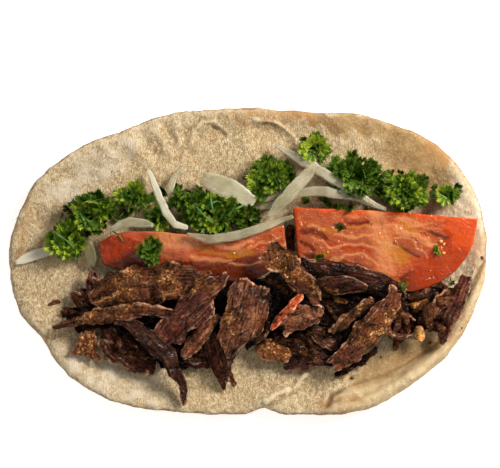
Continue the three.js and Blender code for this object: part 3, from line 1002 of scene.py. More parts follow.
PATCHES: Face = {
    "bare": (Mark((75, 44), (15, 20), 30), Mark((66, -44.5), (21, 8.2), 24), Mark((40, 62), (26, 4.6), -10)),
    "flour": (Mark((95.5, 16), (9, 24)), Mark((-60, -50), (26, 7), -24), Mark((-66, 42), (24, 6), 38)),
    "toast": (
        Mark((12, 65), (22, 3.6)), Mark((92, -27), (4, 12), -30), Mark((101.6, 1), (4.6, 10)),
        Mark((42, -63), (12, 3.4), 8), Mark((-98.6, 14), (2, 16), -14), Mark((84, 48), (8, 5), -30),
    ),
}


@dataclass
class Bread:
    """The split pita, opened out with its torn crumb upwards."""

    voxel: float = 0.78 * MM
    facets_smoothed: int = 14
    swells: float = 1.8 * MM
    lumps: float = 1.1 * MM
    crumbs: float = 1.0 * MM
    groove: float = -1.3 * MM
    roll: float = 1.5 * MM
    roll_width: float = 3.6
    lip_swell: float = 1.05
    lip_line: tuple[Point, ...] = (
        (34.8, -63.4), (37, -58.6), (44, -55.5), (55.5, -52), (65.6, -48), (73.6, -43.2),
        (83.3, -35.7), (91.5, -23), (98.5, -10), (104, 0),
    )

    def build(self) -> Piece:
        """Shape the loaf and dress it.

        Returns:
            The finished bread.
        """
        piece = copy_node("bread", "pita")
        remesh(piece, self.voxel, self.facets_smoothed)
        self.raise_reliefs(piece)
        self.rough_up(piece)
        self.paint_layers(piece)
        finish_piece(piece, "bread", make_material("pita", BreadFinish().dress), "bread")
        return piece

    def lift(self, piece: Piece, group: str, near: Array, height: float) -> None:
        """Lift or press the crumb where a mask is, straight up or down.

        Args:
            piece: the bread.
            group: the name to keep the mask under.
            near: the mask, from 0 to 1.
            height: how far, in metres.
        """
        use_modifier(piece, "DISPLACE", direction="Z", mid_level=0.0, strength=height,
                     vertex_group=weigh(piece, group, near))

    def raise_reliefs(self, piece: Piece) -> None:
        """Raise the ridges and press the grooves of the crumb, and lift the lip.

        Args:
            piece: the bread.
        """
        for name, relief in RELIEFS.items():
            top = ease((facings(piece)[:, 2] - 0.1) / 0.4)
            self.lift(piece, name, relief.mask(places(piece)) * top, relief.height * MM)
        top = ease((facings(piece)[:, 2] - 0.1) / 0.4)
        self.lift(piece, "lip_groove", bell(line_distance(places(piece), self.lip_line), 1.0) * top, self.groove)
        middle = tuple((x * self.lip_swell, y * self.lip_swell) for x, y in self.lip_line)
        rolled = bell(line_distance(places(piece), middle), self.roll_width) * top
        self.lift(piece, "lip_roll", rolled, self.roll)

    def rough_up(self, piece: Piece) -> None:
        """Give the crumb its lumps and grain, and the crust a gentle unevenness.

        Args:
            piece: the bread.
        """
        points = places(piece)
        upward = facings(piece)[:, 2]
        weigh(piece, "crumb", ease((upward + 0.15) / 0.5) * (1 - 0.85 * self.layer(points, "bare")))
        weigh(piece, "whole", np.where((points[:, 2] < 0.3) & (upward < -0.5), 0.0, 1.0))
        roughen(piece, self.swells, "crumb swells", 0.013, "whole")
        roughen(piece, self.lumps, "crumb lumps", 0.0052, "crumb")
        roughen(piece, self.crumbs, "crumb grain", 0.0017, "crumb")

    def layer(self, points: Array, name: str) -> Array:
        """Give one finish's mask over the crumb, its ovals broken by a random field.

        Args:
            points: places in millimetres.
            name: the finish.

        Returns:
            A mask value for each point.
        """
        moved = points + 2.2 * sway(points, 9, 31)
        masks = [1.25 * patch.mask(moved) for patch in PATCHES[name]]
        return np.minimum(np.max(masks, axis=0), 1)

    def paint_layers(self, piece: Piece) -> None:
        """Store where the crumb is bare, floury, toasted, part of the lip or crust, and where highlight and shade
        are painted on its relief and in the lip's groove.

        Args:
            piece: the bread.
        """
        points = places(piece)
        upward = facings(piece)[:, 2]
        band = ease((0.82 - np.abs(upward)) / 0.4)
        outside = self.outside_lip(points)
        line = line_distance(points, self.lip_line) + 0.5 * ripple(points, 3, 33)
        reach = np.hypot(points[:, 0] / 105.0, points[:, 1] / 67.0)
        paint(
            piece, **{name: self.layer(points, name) for name in PATCHES},
            # seam is painted shade along the groove inside the lip, broken by noise.
            lip=outside * ease((upward + 0.3) / 0.5), seam=bell(line, 0.9) * ease(1.1 + ripple(points, 12, 34)),
            rim=band * ease((reach - 0.9) / 0.06) * (1 - 0.6 * outside),
            under=ease((4.0 - points[:, 2]) / 3.0) * ease((0.2 - upward) / 0.4),
        )
        # Paint highlight where the crumb stands out and shade in its hollows, at a fine and a broad scale.
        for rounds, raised_highlight, sunk_shade, depth in ((3, "ridge", "hollow", 0.28), (18, "high", "low", 0.9)):
            relief = standing_out(piece, rounds)
            paint(piece, **{raised_highlight: ease((relief - 0.1 * depth) / depth),
                            sunk_shade: ease((-relief - 0.1 * depth) / depth)})

    def outside_lip(self, points: Array) -> Array:
        """Find what lies past the lip's inner line, on the front right of the rim.

        Args:
            points: places in millimetres.

        Returns:
            1 past the line and 0 within it.
        """
        angle = np.degrees(np.arctan2(points[:, 1], points[:, 0]))
        span = ease((angle + 62) / 8) * ease((4 - angle) / 10)
        bend = np.array([math.hypot(x, y) for x, y in self.lip_line])
        turns = np.array([math.degrees(math.atan2(y, x)) for x, y in self.lip_line])
        radius = np.hypot(points[:, 0], points[:, 1])
        return span * ease((radius - np.interp(angle, turns, bend)) / 1.2 + 0.5)


# ------------------------ meat


class Cut(Enum):
    """How a shaving is roasted, each way with its finish."""

    LEAN = MeatFinish("meat_lean", (0.080, 0.021, 0.009), (0.40, 0.17, 0.09))
    PURPLE = MeatFinish("meat_purple", (0.062, 0.015, 0.009), (0.33, 0.125, 0.075), warm=(0.12, 0.026, 0.014))
    DARK = MeatFinish("meat_dark", (0.040, 0.0085, 0.0035), (0.18, 0.055, 0.024), warm=(0.085, 0.019, 0.006))
    CRUSTED = MeatFinish("meat_crusted", (0.085, 0.022, 0.009), (0.33, 0.13, 0.06), warm=(0.20, 0.052, 0.016),
                         fibre=0.3)
    RED = MeatFinish("meat_red", (0.30, 0.034, 0.009), (0.60, 0.15, 0.05), warm=(0.46, 0.055, 0.014),
                     pale=(0.78, 0.36, 0.19))
    FAT = MeatFinish("meat_fat", (0.42, 0.18, 0.04), (0.72, 0.42, 0.14), deep=(0.20, 0.07, 0.015),
                     warm=(0.52, 0.27, 0.065))
    SCRAP = MeatFinish("meat_scrap", (0.04, 0.011, 0.005), (0.19, 0.072, 0.034), warm=(0.085, 0.024, 0.009))


@dataclass(frozen=True)
class Shaving:
    """One shaving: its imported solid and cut, how crusted, how light and how torn it is."""

    node: str
    cut: Cut
    crust: float = 0.5
    light: float = 1.0
    torn: float = 1.0


# The under_left, under_mid, under_front and under_right shavings are dark and dim: partly their own dark roast,
# partly painted shade beneath the heap.
SHAVINGS: tuple[Shaving, ...] = tuple(Shaving("meat_" + name, *rest) for name, *rest in (
    ("crust_slant", Cut.CRUSTED, 0.9, 1.2), ("long_crust", Cut.CRUSTED, 0.9, 1.15, 0.8),
    ("fibre_fan", Cut.LEAN, 0.25, 0.85), ("fibre_leaf", Cut.PURPLE, 0.25, 0.85),
    ("crescent", Cut.CRUSTED, 0.4, 0.9, 0.8), ("spike", Cut.PURPLE, 0.4, 0.36, 0.7),
    ("red_sliver", Cut.RED, 0.3, 1.2, 0.5), ("thin_crust", Cut.CRUSTED, 0.9, 1.25, 0.6),
    ("dark_leaf", Cut.DARK, 0.1, 0.7, 0.35), ("brown_chunk", Cut.LEAN, 0.5, 1.15),
    ("right_strip", Cut.PURPLE, 0.5, 1.15, 0.6), ("steep_strip", Cut.LEAN, 0.4, 1.25, 0.6),
    ("back_slab", Cut.CRUSTED, 0.6, 0.9), ("back_plate", Cut.DARK, 0.1, 0.8, 0.45),
    ("dark_wedge", Cut.DARK, 0.2, 0.7), ("brown_wedge", Cut.LEAN, 0.6, 1.2), ("fat_lump", Cut.FAT, 0.1, 1.0, 0.1),
    ("dark_point", Cut.DARK, 0.3, 0.8, 0.7), ("olive_fibre", Cut.LEAN, 0.2, 0.75, 0.7),
    ("wedge_left", Cut.CRUSTED, 0.5, 1.5), ("dark_flat", Cut.DARK, 0.5, 0.8),
    ("tan_chunk", Cut.CRUSTED, 1.0, 1.2, 0.8), ("purple_strip", Cut.PURPLE, 0.2, 1.0, 0.8),
    ("lower_slab", Cut.PURPLE, 0.1, 0.72, 0.5), ("dark_bit", Cut.DARK, 0.5, 0.9, 0.6),
    ("dark_chip", Cut.DARK, 0.6, 0.9, 0.6), ("charred_strip", Cut.DARK, 1.0, 0.45, 0.9),
    ("curled_ring", Cut.LEAN, 0.1, 1.0, 0.0), ("under_left", Cut.DARK, 0.4, 0.55),
    ("under_mid", Cut.DARK, 0.4, 0.55), ("under_front", Cut.DARK, 0.5, 0.6), ("under_right", Cut.DARK, 0.4, 0.55),
    ("under_ring", Cut.LEAN, 0.4, 0.8), ("under_end", Cut.LEAN, 0.4, 1.1),
))


def grain_frame(points: Array) -> tuple[Array, Array, Array]:
    """Find a piece's own length, width and thickness.

    Args:
        points: places in millimetres.

    Returns:
        The piece's middle, its three directions as rows, and its places along them.
    """
    middle = points.mean(axis=0)
    _, directions = np.linalg.eigh(np.cov((points - middle).T))
    directions = directions[:, ::-1].T.copy()
    directions[0] *= 1 if directions[0].sum() > 0 else -1
    directions[1] *= 1 if directions[1, :2].sum() > 0 else -1
    directions[2] = np.cross(directions[0], directions[1])
    return middle, directions, (points - middle) @ directions.T


def side_share(along: Array, across: Array, bins: int = 24) -> Array:
    """Give how near each place is to the piece's sides.

    Args:
        along: places along the piece.
        across: places across it.
        bins: how many stations along the piece it is measured at.

    Returns:
        0 on the piece's middle line, 1 on a side.
    """
    slot = np.clip(((along - along.min()) / np.ptp(along) * bins).astype(int), 0, bins - 1)
    low = np.full(bins, np.inf)
    high = np.full(bins, -np.inf)
    np.minimum.at(low, slot, across)
    np.maximum.at(high, slot, across)
    centres = (np.arange(bins) + 0.5) / bins * np.ptp(along) + along.min()
    found = np.isfinite(low)
    left = np.interp(along, centres[found], low[found])
    right = np.interp(along, centres[found], high[found])
    return np.clip(np.abs(2 * (across - left) / (right - left + 1e-6) - 1), 0, 1)


def store_grain(piece: Piece, grain: Array) -> None:
    """Store places along, across and through the piece, in millimetres, for materials to read."""
    layer = piece.data.attributes.get("grain") or piece.data.attributes.new("grain", "FLOAT_VECTOR", "POINT")
    layer.data.foreach_set("vector", np.ascontiguousarray(grain, np.float32).ravel())


class Ground:
    """What lies under a place: some pieces seen from straight above."""

    def __init__(self, pieces: list[Piece]) -> None:
        """Gather the faces of these pieces.

        Args:
            pieces: the pieces.
        """
        corners: list[Vector] = []
        faces: list[tuple[int, ...]] = []
        for piece in pieces:
            first = len(corners)
            corners.extend(vertex.co.copy() for vertex in piece.data.vertices)
            faces.extend(tuple(first + index for index in face.vertices) for face in piece.data.polygons)
        self.tree = BVHTree.FromPolygons(corners, faces)

    def height(self, spot: Point) -> float:
        """Give how high the pieces reach over a place, in millimetres, or 0 where there are none."""
        where = self.tree.ray_cast(Vector((spot[0], spot[1], 200.0)) * MM, Vector((0, 0, -1)))[0]
        return where.z / MM if where else 0.0


class Canopy:
    """How high a heap reaches around each place, to tell what lies deep in its gaps, where shade is painted."""

    def __init__(self, ground: Ground, low: Point, high: Point, reach: int = 3) -> None:
        """Sample the heap every millimetre and spread its heights.

        Args:
            ground: the heap.
            low: the lowest corner to sample.
            high: the highest corner.
            reach: how far a height is spread, in millimetres.
        """
        self.low = np.array(low)
        columns, rows = (math.ceil(end - start) + 1 for start, end in zip(low, high))
        heights = np.array([[ground.height((low[0] + x, low[1] + y)) for x in range(columns)] for y in range(rows)])
        best = heights
        for dx in range(-reach, reach + 1):
            for dy in range(-reach, reach + 1):
                if dx * dx + dy * dy <= reach * reach:
                    best = np.maximum(best, np.roll(heights, (dy, dx), (0, 1)))
        self.grid = (best + np.roll(best, 1, 0) + np.roll(best, 1, 1) + np.roll(best, (1, 1), (0, 1))) / 4

    def depth(self, points: Array) -> Array:
        """Give how far each place lies below the heap around it.

        Args:
            points: places in millimetres.

        Returns:
            A depth for each point, in millimetres.
        """
        cell = np.rint(points[:, :2] - self.low).astype(int)
        x, y = np.clip(cell, 0, np.array(self.grid.shape[::-1]) - 1).T
        return self.grid[y, x] - points[:, 2]


def packed(*starts: str) -> Ground:
    """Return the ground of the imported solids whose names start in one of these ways."""
    return Ground([node for name, node in frame["nodes"].items() if name.startswith(starts)])


def finished(*starts: str) -> Ground:
    """Return the ground of the finished pieces whose names start in one of these ways."""
    pieces = [piece for piece in bpy.data.objects if piece.name.startswith(starts) and not piece.hide_render]
    return Ground(pieces)


def meat_canopy() -> Canopy:
    """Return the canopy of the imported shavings."""
    return Canopy(packed("meat", "bread"), (-95.0, -66.0), (105.0, 12.0))


@dataclass
class MeatHeap:
    """The band of roast shavings."""

    voxel: float = 0.42 * MM
    growth: float = 1.1
    fray: float = 4.2
    tear: float = 1.3
    strand_depth: float = 0.2
    thread_depth: float = 0.08
    lump_height: float = 0.3
    crease_depth: float = 0.75
    curl: float = 2.1
    thinning: float = 0.66
    wander: float = 0.9
    grit_depth: float = 0.6 * MM
    # How deep below the heap painted shade starts, and over what depth it darkens fully.
    open_depth: float = 1.6
    dark_depth: float = 4.0
    golden: tuple[Mark, ...] = (
        Mark((61.6, -24.6), (2.6, 13), -40), Mark((50.6, -38), (4, 8), -42), Mark((13.5, -1), (6, 6)),
        Mark((20, -6), (6, 5), -40), Mark((-37, -9), (5, 8)), Mark((-20, -10.6), (8, 2.6), 12),
        Mark((-72, -33), (6, 8)), Mark((-64, -22), (18, 2.6), 8), Mark((10, -39), (8, 6), -20),
        Mark((47, -22), (8, 4), 40), Mark((34, -14), (7, 3.6), -20), Mark((-57, -12), (8, 6)),
        Mark((-9, -22), (3, 9), 20), Mark((-52, -5), (7, 4), 10),
    )
    char: Mark = Mark((48, -43.6), (12, 5), 32)

    def build(self) -> list[Piece]:
        """Shape and dress every shaving.

        Returns:
            The finished shavings.
        """
        for cut in Cut:
            make_material(cut.value.name, cut.value.dress)
        canopy = meat_canopy()
        return [self.shape(shaving, number, canopy) for number, shaving in enumerate(SHAVINGS)]

    def shape(self, shaving: Shaving, number: int, canopy: Canopy) -> Piece:
        """Shape one shaving from its solid.

        Args:
            shaving: which one.
            number: its place in the list, which varies its relief.
            canopy: the heap that it lies in.

        Returns:
            The finished shaving.
        """
        piece = copy_node(shaving.node, shaving.node.replace("meat", "shaving"))
        remesh(piece, self.voxel, 2)
        if shaving.torn > 0:
            self.tear_outline(piece, number, shaving.torn)
        remesh(piece, self.voxel)
        grain, strands = self.split_strands(piece, number, 0.35 + 0.65 * shaving.torn)
        points = places(piece)
        golden = self.golden_mask(points)
        crusted = np.maximum(golden, shaving.crust * ease(0.1 + 1.1 * ripple(points, 7, 70 + number)))
        roughen(piece, self.grit_depth, "meat grit", 0.0013, weigh(piece, "crusted", crusted), 0.4)
        store_grain(piece, grain)
        relief = standing_out(piece, 6)
        # Painted shade: darker the deeper a place lies below the heap around it.
        gap_shade = ease((canopy.depth(points) - self.open_depth) / self.dark_depth)
        shaded = (1 + 0.38 * ripple(points, 8, 800 + number)) * (1 - 0.85 * gap_shade * min(1.0, shaving.torn * 3))
        # light carries the shaving's tone, random patches and the painted gap shade; strand is darkened in hollows
        # as painted shade; edge, partly painted highlight, is dimmed in the gaps.
        paint(piece, crust=crusted, golden=golden, light=shaving.light * shaded,
              strand=strands * ease(1 + relief / 0.35), edge=ease((relief - 0.08) / 0.2) * (1 - 0.5 * gap_shade))
        material = bpy.data.materials[shaving.cut.value.name]
        finish_piece(piece, "fat" if shaving.cut is Cut.FAT else "meat", material, shaving.node)
        return piece

    def golden_mask(self, points: Array) -> Array:
        """Give where the heap's crust is golden: on its marks, but not where it is charred."""
        moved = points + 2.5 * sway(points, 5, 51)
        return np.max([mark.mask(moved) for mark in self.golden], axis=0) * (1 - self.char.mask(points))

    def tear_outline(self, piece: Piece, number: int, torn: float) -> None:
        """Fray the shaving's ends along its strands and tear notches in its sides.

        Args:
            piece: the shaving.
            number: which random fields to use.
            torn: the share of the heap's fraying, notches, curl and thinning that it gets.
        """
        middle, directions, grain = grain_frame(places(piece))
        along, across, through = grain.T
        half = np.abs(along).max()
        edge = side_share(along, across)
        reach = ease((np.abs(along) / half - 0.45) / 0.55)
        strands = np.stack([across, 0.6 * through + 40 * np.sign(along)], axis=1)
        cut = 0.5 + 0.5 * ripple(strands, 2.0, 300 + number)
        wide = 0.5 + 0.5 * ripple(strands, 6.5, 340 + number)
        shift = torn * self.fray * reach * (0.28 * np.clip(cut, 0, 1) + 0.9 * np.clip(wide, 0, 1) - 0.4)
        notch = np.stack([along, 40 * np.sign(across), 0.5 * through], axis=1)
        ragged = ease(0.5 + 1.2 * ripple(notch, 9.0, 390 + number))
        bite = np.clip(ripple(notch, 7.0, 380 + number), -0.7, 1) * 1.1
        bite += 0.6 * ragged * np.clip(ripple(notch, 2.2, 400 + number), -0.3, 1)
        moved = grain.copy()
        moved[:, 0] = along * self.growth - np.sign(along) * np.minimum(shift, 0.25 * half)
        moved[:, 1] = across * self.growth - np.sign(across) * torn * self.tear * bite * ease((edge - 0.4) / 0.6)
        moved[:, 1] += self.wander * torn * ripple(grain * ALONG_ONLY, 9.0, 420 + number)
        moved[:, 2] = through * (1 - self.thinning * (0.3 + 0.7 * torn) * edge**2)
        moved[:, 2] += torn * self.curl * (edge**2 - 0.4) * np.sign(directions[2, 2])
        set_places(piece, middle + moved @ directions)

    def split_strands(self, piece: Piece, number: int, deep: float) -> tuple[Array, Array]:
        """Press grooves between the strands of the meat.

        Args:
            piece: the shaving.
            number: which random fields to use.
            deep: the share of the heap's lumps and creases that it gets.

        Returns:
            The grain places, and the height of the strands from 0 to 1.
        """
        points = places(piece)
        _, _, grain = grain_frame(points)
        folds = np.exp(-5 * np.abs(ripple(grain * np.array([0.5, 1.0, 0.6]), 9.0, 560 + number)))
        grain[:, 1] -= np.polyval(np.polyfit(grain[:, 0], grain[:, 1], 2), grain[:, 0])
        flow = grain * np.array([0.1, 1.0, 0.7])
        strands = 1 - np.exp(-3.2 * np.abs(ripple(flow, 2.0, 440 + number)))
        threads = 1 - np.exp(-2.6 * np.abs(ripple(flow, 1.1, 480 + number)))
        loose = ease(0.5 + ripple(points, 6.0, 540 + number))
        height = self.strand_depth * (strands - 0.8) * (0.4 + 1.4 * loose) + self.thread_depth * (threads - 0.7)
        height += deep * (self.lump_height * ripple(points, 5.0, 520 + number) - self.crease_depth * folds)
        set_places(piece, points + facings(piece) * height[:, None])
        # The strands' tone is lowered in the folds, where the colour paints shade.
        return grain, np.clip(0.3 + 0.5 * strands + 0.3 * threads - 0.6 * folds, 0, 1)


def dress_meat(piece: Piece, seed: int, light: float | Array) -> None:
    """Store what a meat material reads on a small piece.

    Args:
        piece: the piece.
        seed: which random fields to use.
        light: how light it is.
    """
    points = places(piece)
    store_grain(piece, points)
    paint(piece, crust=ease(0.3 + ripple(points, 4, seed)), golden=ease(0.1 + 0.6 * ripple(points, 6, seed + 1)),
          strand=0.5 + 0.5 * ripple(points, 0.9, seed + 2), edge=0.0, light=light)


@dataclass(frozen=True)
class Scraps:
    """Small torn scraps that fill the gaps between the shavings, and lie loose on them."""

    zones: tuple[Mark, ...] = (
        Mark((-42, -26), (37, 15), -6), Mark((24, -26), (34, 14)), Mark((70, -22.5), (24, 9), 10),
    )
    kinds: int = 5
    fill: int = 420
    size: float = 3.6
    fill_height: float = 6.5
    seed: int = 5

    def build(self) -> Piece:
        """Scatter the scraps and join them.

        Returns:
            The finished scraps.
        """
        draw = random.Random(self.seed)
        patterns = [self.pattern(number) for number in range(self.kinds)]
        heap = packed("meat")
        crumb = packed("bread")
        copies = []
        for _ in range(self.fill):
            zone = draw.choices(self.zones, [mark.radii[0] * mark.radii[1] for mark in self.zones])[0]
            spot = zone.pick(draw)
            bread = crumb.height(spot)
            floor = max(heap.height(spot), bread)
            if floor < bread + self.fill_height or draw.random() < 0.02:
                copies.append(self.scrap(draw.choice(patterns), spot, floor, draw))
        for pattern in patterns:
            bpy.data.objects.remove(pattern)
        piece = join_shapes("meat_scraps", copies)
        # Scraps that lie deep below the heap around them are darkened as painted shade.
        dress_meat(piece, 61, 1.0 - 0.8 * ease((meat_canopy().depth(places(piece)) - 0.5) / 4))
        finish_piece(piece, "meat", bpy.data.materials["meat_scrap"])
        return piece

    def pattern(self, number: int) -> Piece:
        """Model one scrap: a torn, flattened splinter.

        Args:
            number: which one, each a little wider than the last.

        Returns:
            The scrap.
        """
        piece = unit_ball(3)
        directions = facings(piece)
        ridges = ripple(directions * np.array([0.5, 1.6, 1.6]), 0.5, 620 + number)
        rough = 1 + 0.34 * ripple(directions, 0.75, 600 + number) + 0.2 * ridges
        set_places(piece, directions * rough[:, None] * np.array([1.0, 0.42 + 0.05 * number, 0.22]))
        return piece

    def scrap(self, pattern: Piece, spot: Point, floor: float, draw: random.Random) -> Piece:
        """Copy a scrap with its own mesh and lay it down.

        Args:
            pattern: the scrap to copy.
            spot: where it lies.
            floor: the height of what it lies on, in millimetres.
            draw: the random source.

        Returns:
            The copy.
        """
        piece = copy_shape(pattern)
        size = self.size * draw.uniform(0.45, 1.3)
        piece.location = Vector((spot[0], spot[1], floor + 0.15 * size)) * MM
        piece.rotation_euler = (draw.uniform(-0.5, 0.5), draw.uniform(-0.5, 0.5), draw.uniform(0, 2 * math.pi))
        piece.scale = (size, size * draw.uniform(0.7, 1.1), size)
        return piece


# ------------------------ tomatoes


RIGHT_FACE: Face = {
    "vivid": (
        Mark((99, 10), (12, 17), 4), Mark((84, 20), (8, 2), -3), Seam(((20, 23.4), (60, 21.9), (100, 18.2)), 0.7),
    ),
    "gel": (
        Mark((85, -4), (13, 10), 30), Mark((85, 8), (2.4, 2), 0, -0.3),
        Seam(((42.6, 17.9), (50, 16.6), (58, 16.9)), 1.4, -0.9),
        Seam(((34, 7.2), (41, 5.4), (48, 5.8), (54, 3.4)), 0.9, -0.15),
        Seam(((87.6, 14), (88.6, 4), (84, -4.6)), 1.2, 0.1), Mark((81, -1), (3.6, 4.4), 20),
        Seam(((20.8, 22), (20.6, 8), (23, -5)), 1.5),
    ),
    "shade": (
        Mark((73, -8), (7, 4.4), 20), Mark((48, -6), (16, 4.6), -14), Mark((30, 0), (5, 3.4), -10, -0.3),
        Mark((76, -10), (9, 4), 20, -0.3), Seam(((22.6, 13.6), (27.6, 14), (31.6, 12.4), (34.6, 9.6)), 0.9, -0.3),
        Seam(((23.4, 9), (26.6, 7), (28, 3.6)), 0.9, -0.3),
        Seam(((62.6, 8.2), (66.2, 6.4), (70.8, 4.2), (75.4, 1.4)), 0.6, -0.4),
    ),
    "mauve": (
        Mark((27.4, 9.6), (4.6, 4.6), -30), Mark((31, 20), (7, 3), -8), Mark((38, 6), (19, 12), -4),
        Mark((71, 7.4), (6.6, 3), -32, 0.3), Mark((81, 0.6), (3.2, 3.8)),
        Seam(((36, 12), (42, 9.4), (50, 9.6), (55, 8.4)), 0.9, -0.15),
        Seam(((78, 2.4), (81.4, 5.2), (84.6, 2.2), (84.2, -2.4)), 0.7, 0.2),
    ),
    "deep": (
        Mark((40.4, 15.5), (2.5, 1.2), 0, -0.7), Seam(((44.6, 17.4), (50, 16.7), (54, 16.5)), 0.55, -0.2),
        Seam(((80, 12.4), (83.6, 11.8), (86.6, 10.2)), 0.8, -0.6),
    ),
    "amber": (
        Mark((33.4, 3.2), (2.4, 1.6), -20, -0.2), Mark((64.6, 3.4), (5.6, 3.6), -24),
        Mark((60, 8.2), (1.8, 3.4), -8), Mark((71.6, 14), (4.6, 1.5), -24),
        Seam(((42, 16.2), (48, 14.8), (55.4, 15.2)), 0.6, 0.2), Seam(((31, 14.6), (35.4, 13.2), (39, 13.4)), 0.8),
    ),
    "pale": (
        Mark((72, 17.4), (6, 1.6), -10), Seam(((56.4, 21.6), (57.6, 14), (59.4, 6), (60.4, -2)), 3.6),
        Seam(((60, 15.4), (68, 12.4), (74.6, 10.4), (81.4, 7.4)), 1.3, 0.4),
        Seam(((26.4, 15.6), (30, 15.4), (33.4, 13.4)), 0.4, 0.15),
        Seam(((28.6, 11), (32, 9.4), (35, 6.4), (38.8, 5)), 0.4, 0.15),
        Seam(((57, 11.8), (50, 11.6), (44, 10.8), (38, 11.6)), 0.6, 0.1),
        Seam(((58, 4.6), (50, 7.6), (43, 7.6), (38, 5.8)), 0.5, 0.1),
        Seam(((58, -1), (50, 2.4), (42, 2.4), (37, 0.6)), 0.5, 0.1),
        Seam(((64, 10.4), (70, 9.8), (75.4, 5.6), (78.6, 1)), 0.35, 0.2),
    ),
}

LEFT_FACE: Face = {
    "shade": (
        Mark((-12, -6.4), (30, 6.4), 2, -0.2), Mark((-54, 0), (12, 5.4), -10), Mark((-26, -2.4), (11, 2.8)),
        Mark((-2, -1.6), (18, 4.4), 4), Mark((-60, 2), (8, 8), -10),
        Seam(((-65, 1), (-56, 6), (-50, 7)), 0.6, -0.2),
    ),
    "gel": (
        Mark((-58, 6.4), (9, 5), 10), Mark((-21.6, 6.4), (3, 1.7), -12, -0.7), Mark((-13, 4), (8, 2.2), -6, -0.3),
        Mark((2, 6), (6, 2), 30), Mark((-22, 6.6), (5, 2.2), -12),
    ),
    "pale": (
        Mark((-31.4, 9.6), (10, 4.2), -4),
        Seam(((-26, 9.6), (-19, 8.2), (-12, 6.4), (-5, 6.4), (1, 8.4)), 0.9, 0.4),
        Seam(((-24, 2.6), (-16, 1), (-8, 0.4)), 0.8), Seam(((0.6, 5.6), (4, 8.6), (9, 9), (14, 11.4)), 0.5, 0.3),
        Seam(((-8, -1.4), (2, -1), (8, 0.6)), 0.5), Seam(((16.2, 16), (17, 8), (17.4, 2)), 0.6, 0.3),
    ),
    "mauve": (Mark((-33, 1), (8, 3)), Mark((8.6, 7), (8, 3), 22), Seam(((-40, 8), (-37, 3), (-36, -2)), 1.6)),
    "amber": (
        Mark((-4, 3.8), (7, 1.5), 6), Seam(((-24.4, 7), (-21, 6.2), (-17.6, 5.2)), 0.9, -0.4),
        Seam(((-19.6, 4.6), (-12, 3.2), (-5.6, 2.6)), 0.7),
    ),
    "vivid": (Seam(((-62, 9.4), (-56, 10.4), (-46, 11)), 0.8), Seam(((-60, 4), (-52, 4.6), (-44, 3.4)), 0.6)),
}

SLICES: dict[str, Face] = {"tomato_right": RIGHT_FACE, "tomato_left": LEFT_FACE}


@dataclass
class TomatoSlices:
    """The two wet half slices behind the meat."""

    voxel: float = 0.5 * MM
    deepest: float = 1.0
    swells: float = 0.5 * MM
    grain: Triple = (0.4, 1.0, 1.0)
    layers: tuple[str, ...] = ("gel", "deep", "amber", "pale", "vivid", "mauve", "shade")

    def build(self) -> list[Piece]:
        """Shape and dress both slices.

        Returns:
            The finished slices.
        """
        material = make_material("tomato", TomatoFinish().dress)
        return [self.shape(node, shows, material) for node, shows in SLICES.items()]

    def shape(self, node: str, shows: Face, material: Material) -> Piece:
        """Shape one slice from its solid.

        Args:
            node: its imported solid.
            shows: what shows on its cut face.
            material: the tomato's material.

        Returns:
            The finished slice.
        """
        piece = copy_node(node, node + "_slice")
        remesh(piece, self.voxel, 5)
        points = places(piece)
        upward = ease((facings(piece)[:, 2] - 0.2) / 0.4)
        warp = sway(points, 6, 41)
        masks = {name: [part.mask(points + 0.8 * warp) for part in parts] for name, parts in shows.items()}
        rise = sum(0.65 * mask * part.height for name in shows for mask, part in zip(masks[name], shows[name]))
        rise = np.clip(rise, -self.deepest, self.deepest) + 0.1 * ripple(points * self.grain, 2.4, 43)
        rise += 0.04 * ripple(points + warp, 1.5, 44)
        points[:, 2] += rise * upward
        set_places(piece, points)
        roughen(piece, self.swells, "tomato swells", 0.011)
        # Painted shade in the creases of the cut face.
        sunk_shade = ease((-standing_out(piece, 4) - 0.02) / 0.18)
        layers = {name: np.max(masks[name], axis=0) if name in masks else 0.0 for name in self.layers}
        normals = facings(piece)
        outward = normals[:, 0] * (1 if node == "tomato_right" else -1)
        skin = ease((0.55 - np.abs(normals[:, 2])) / 0.3) * ease((outward + 0.1) / 0.4)
        paint(piece, **layers, crease=sunk_shade * upward, skin=skin)
        finish_piece(piece, "tomato", material, node)
        return piece


# ------------------------ onion


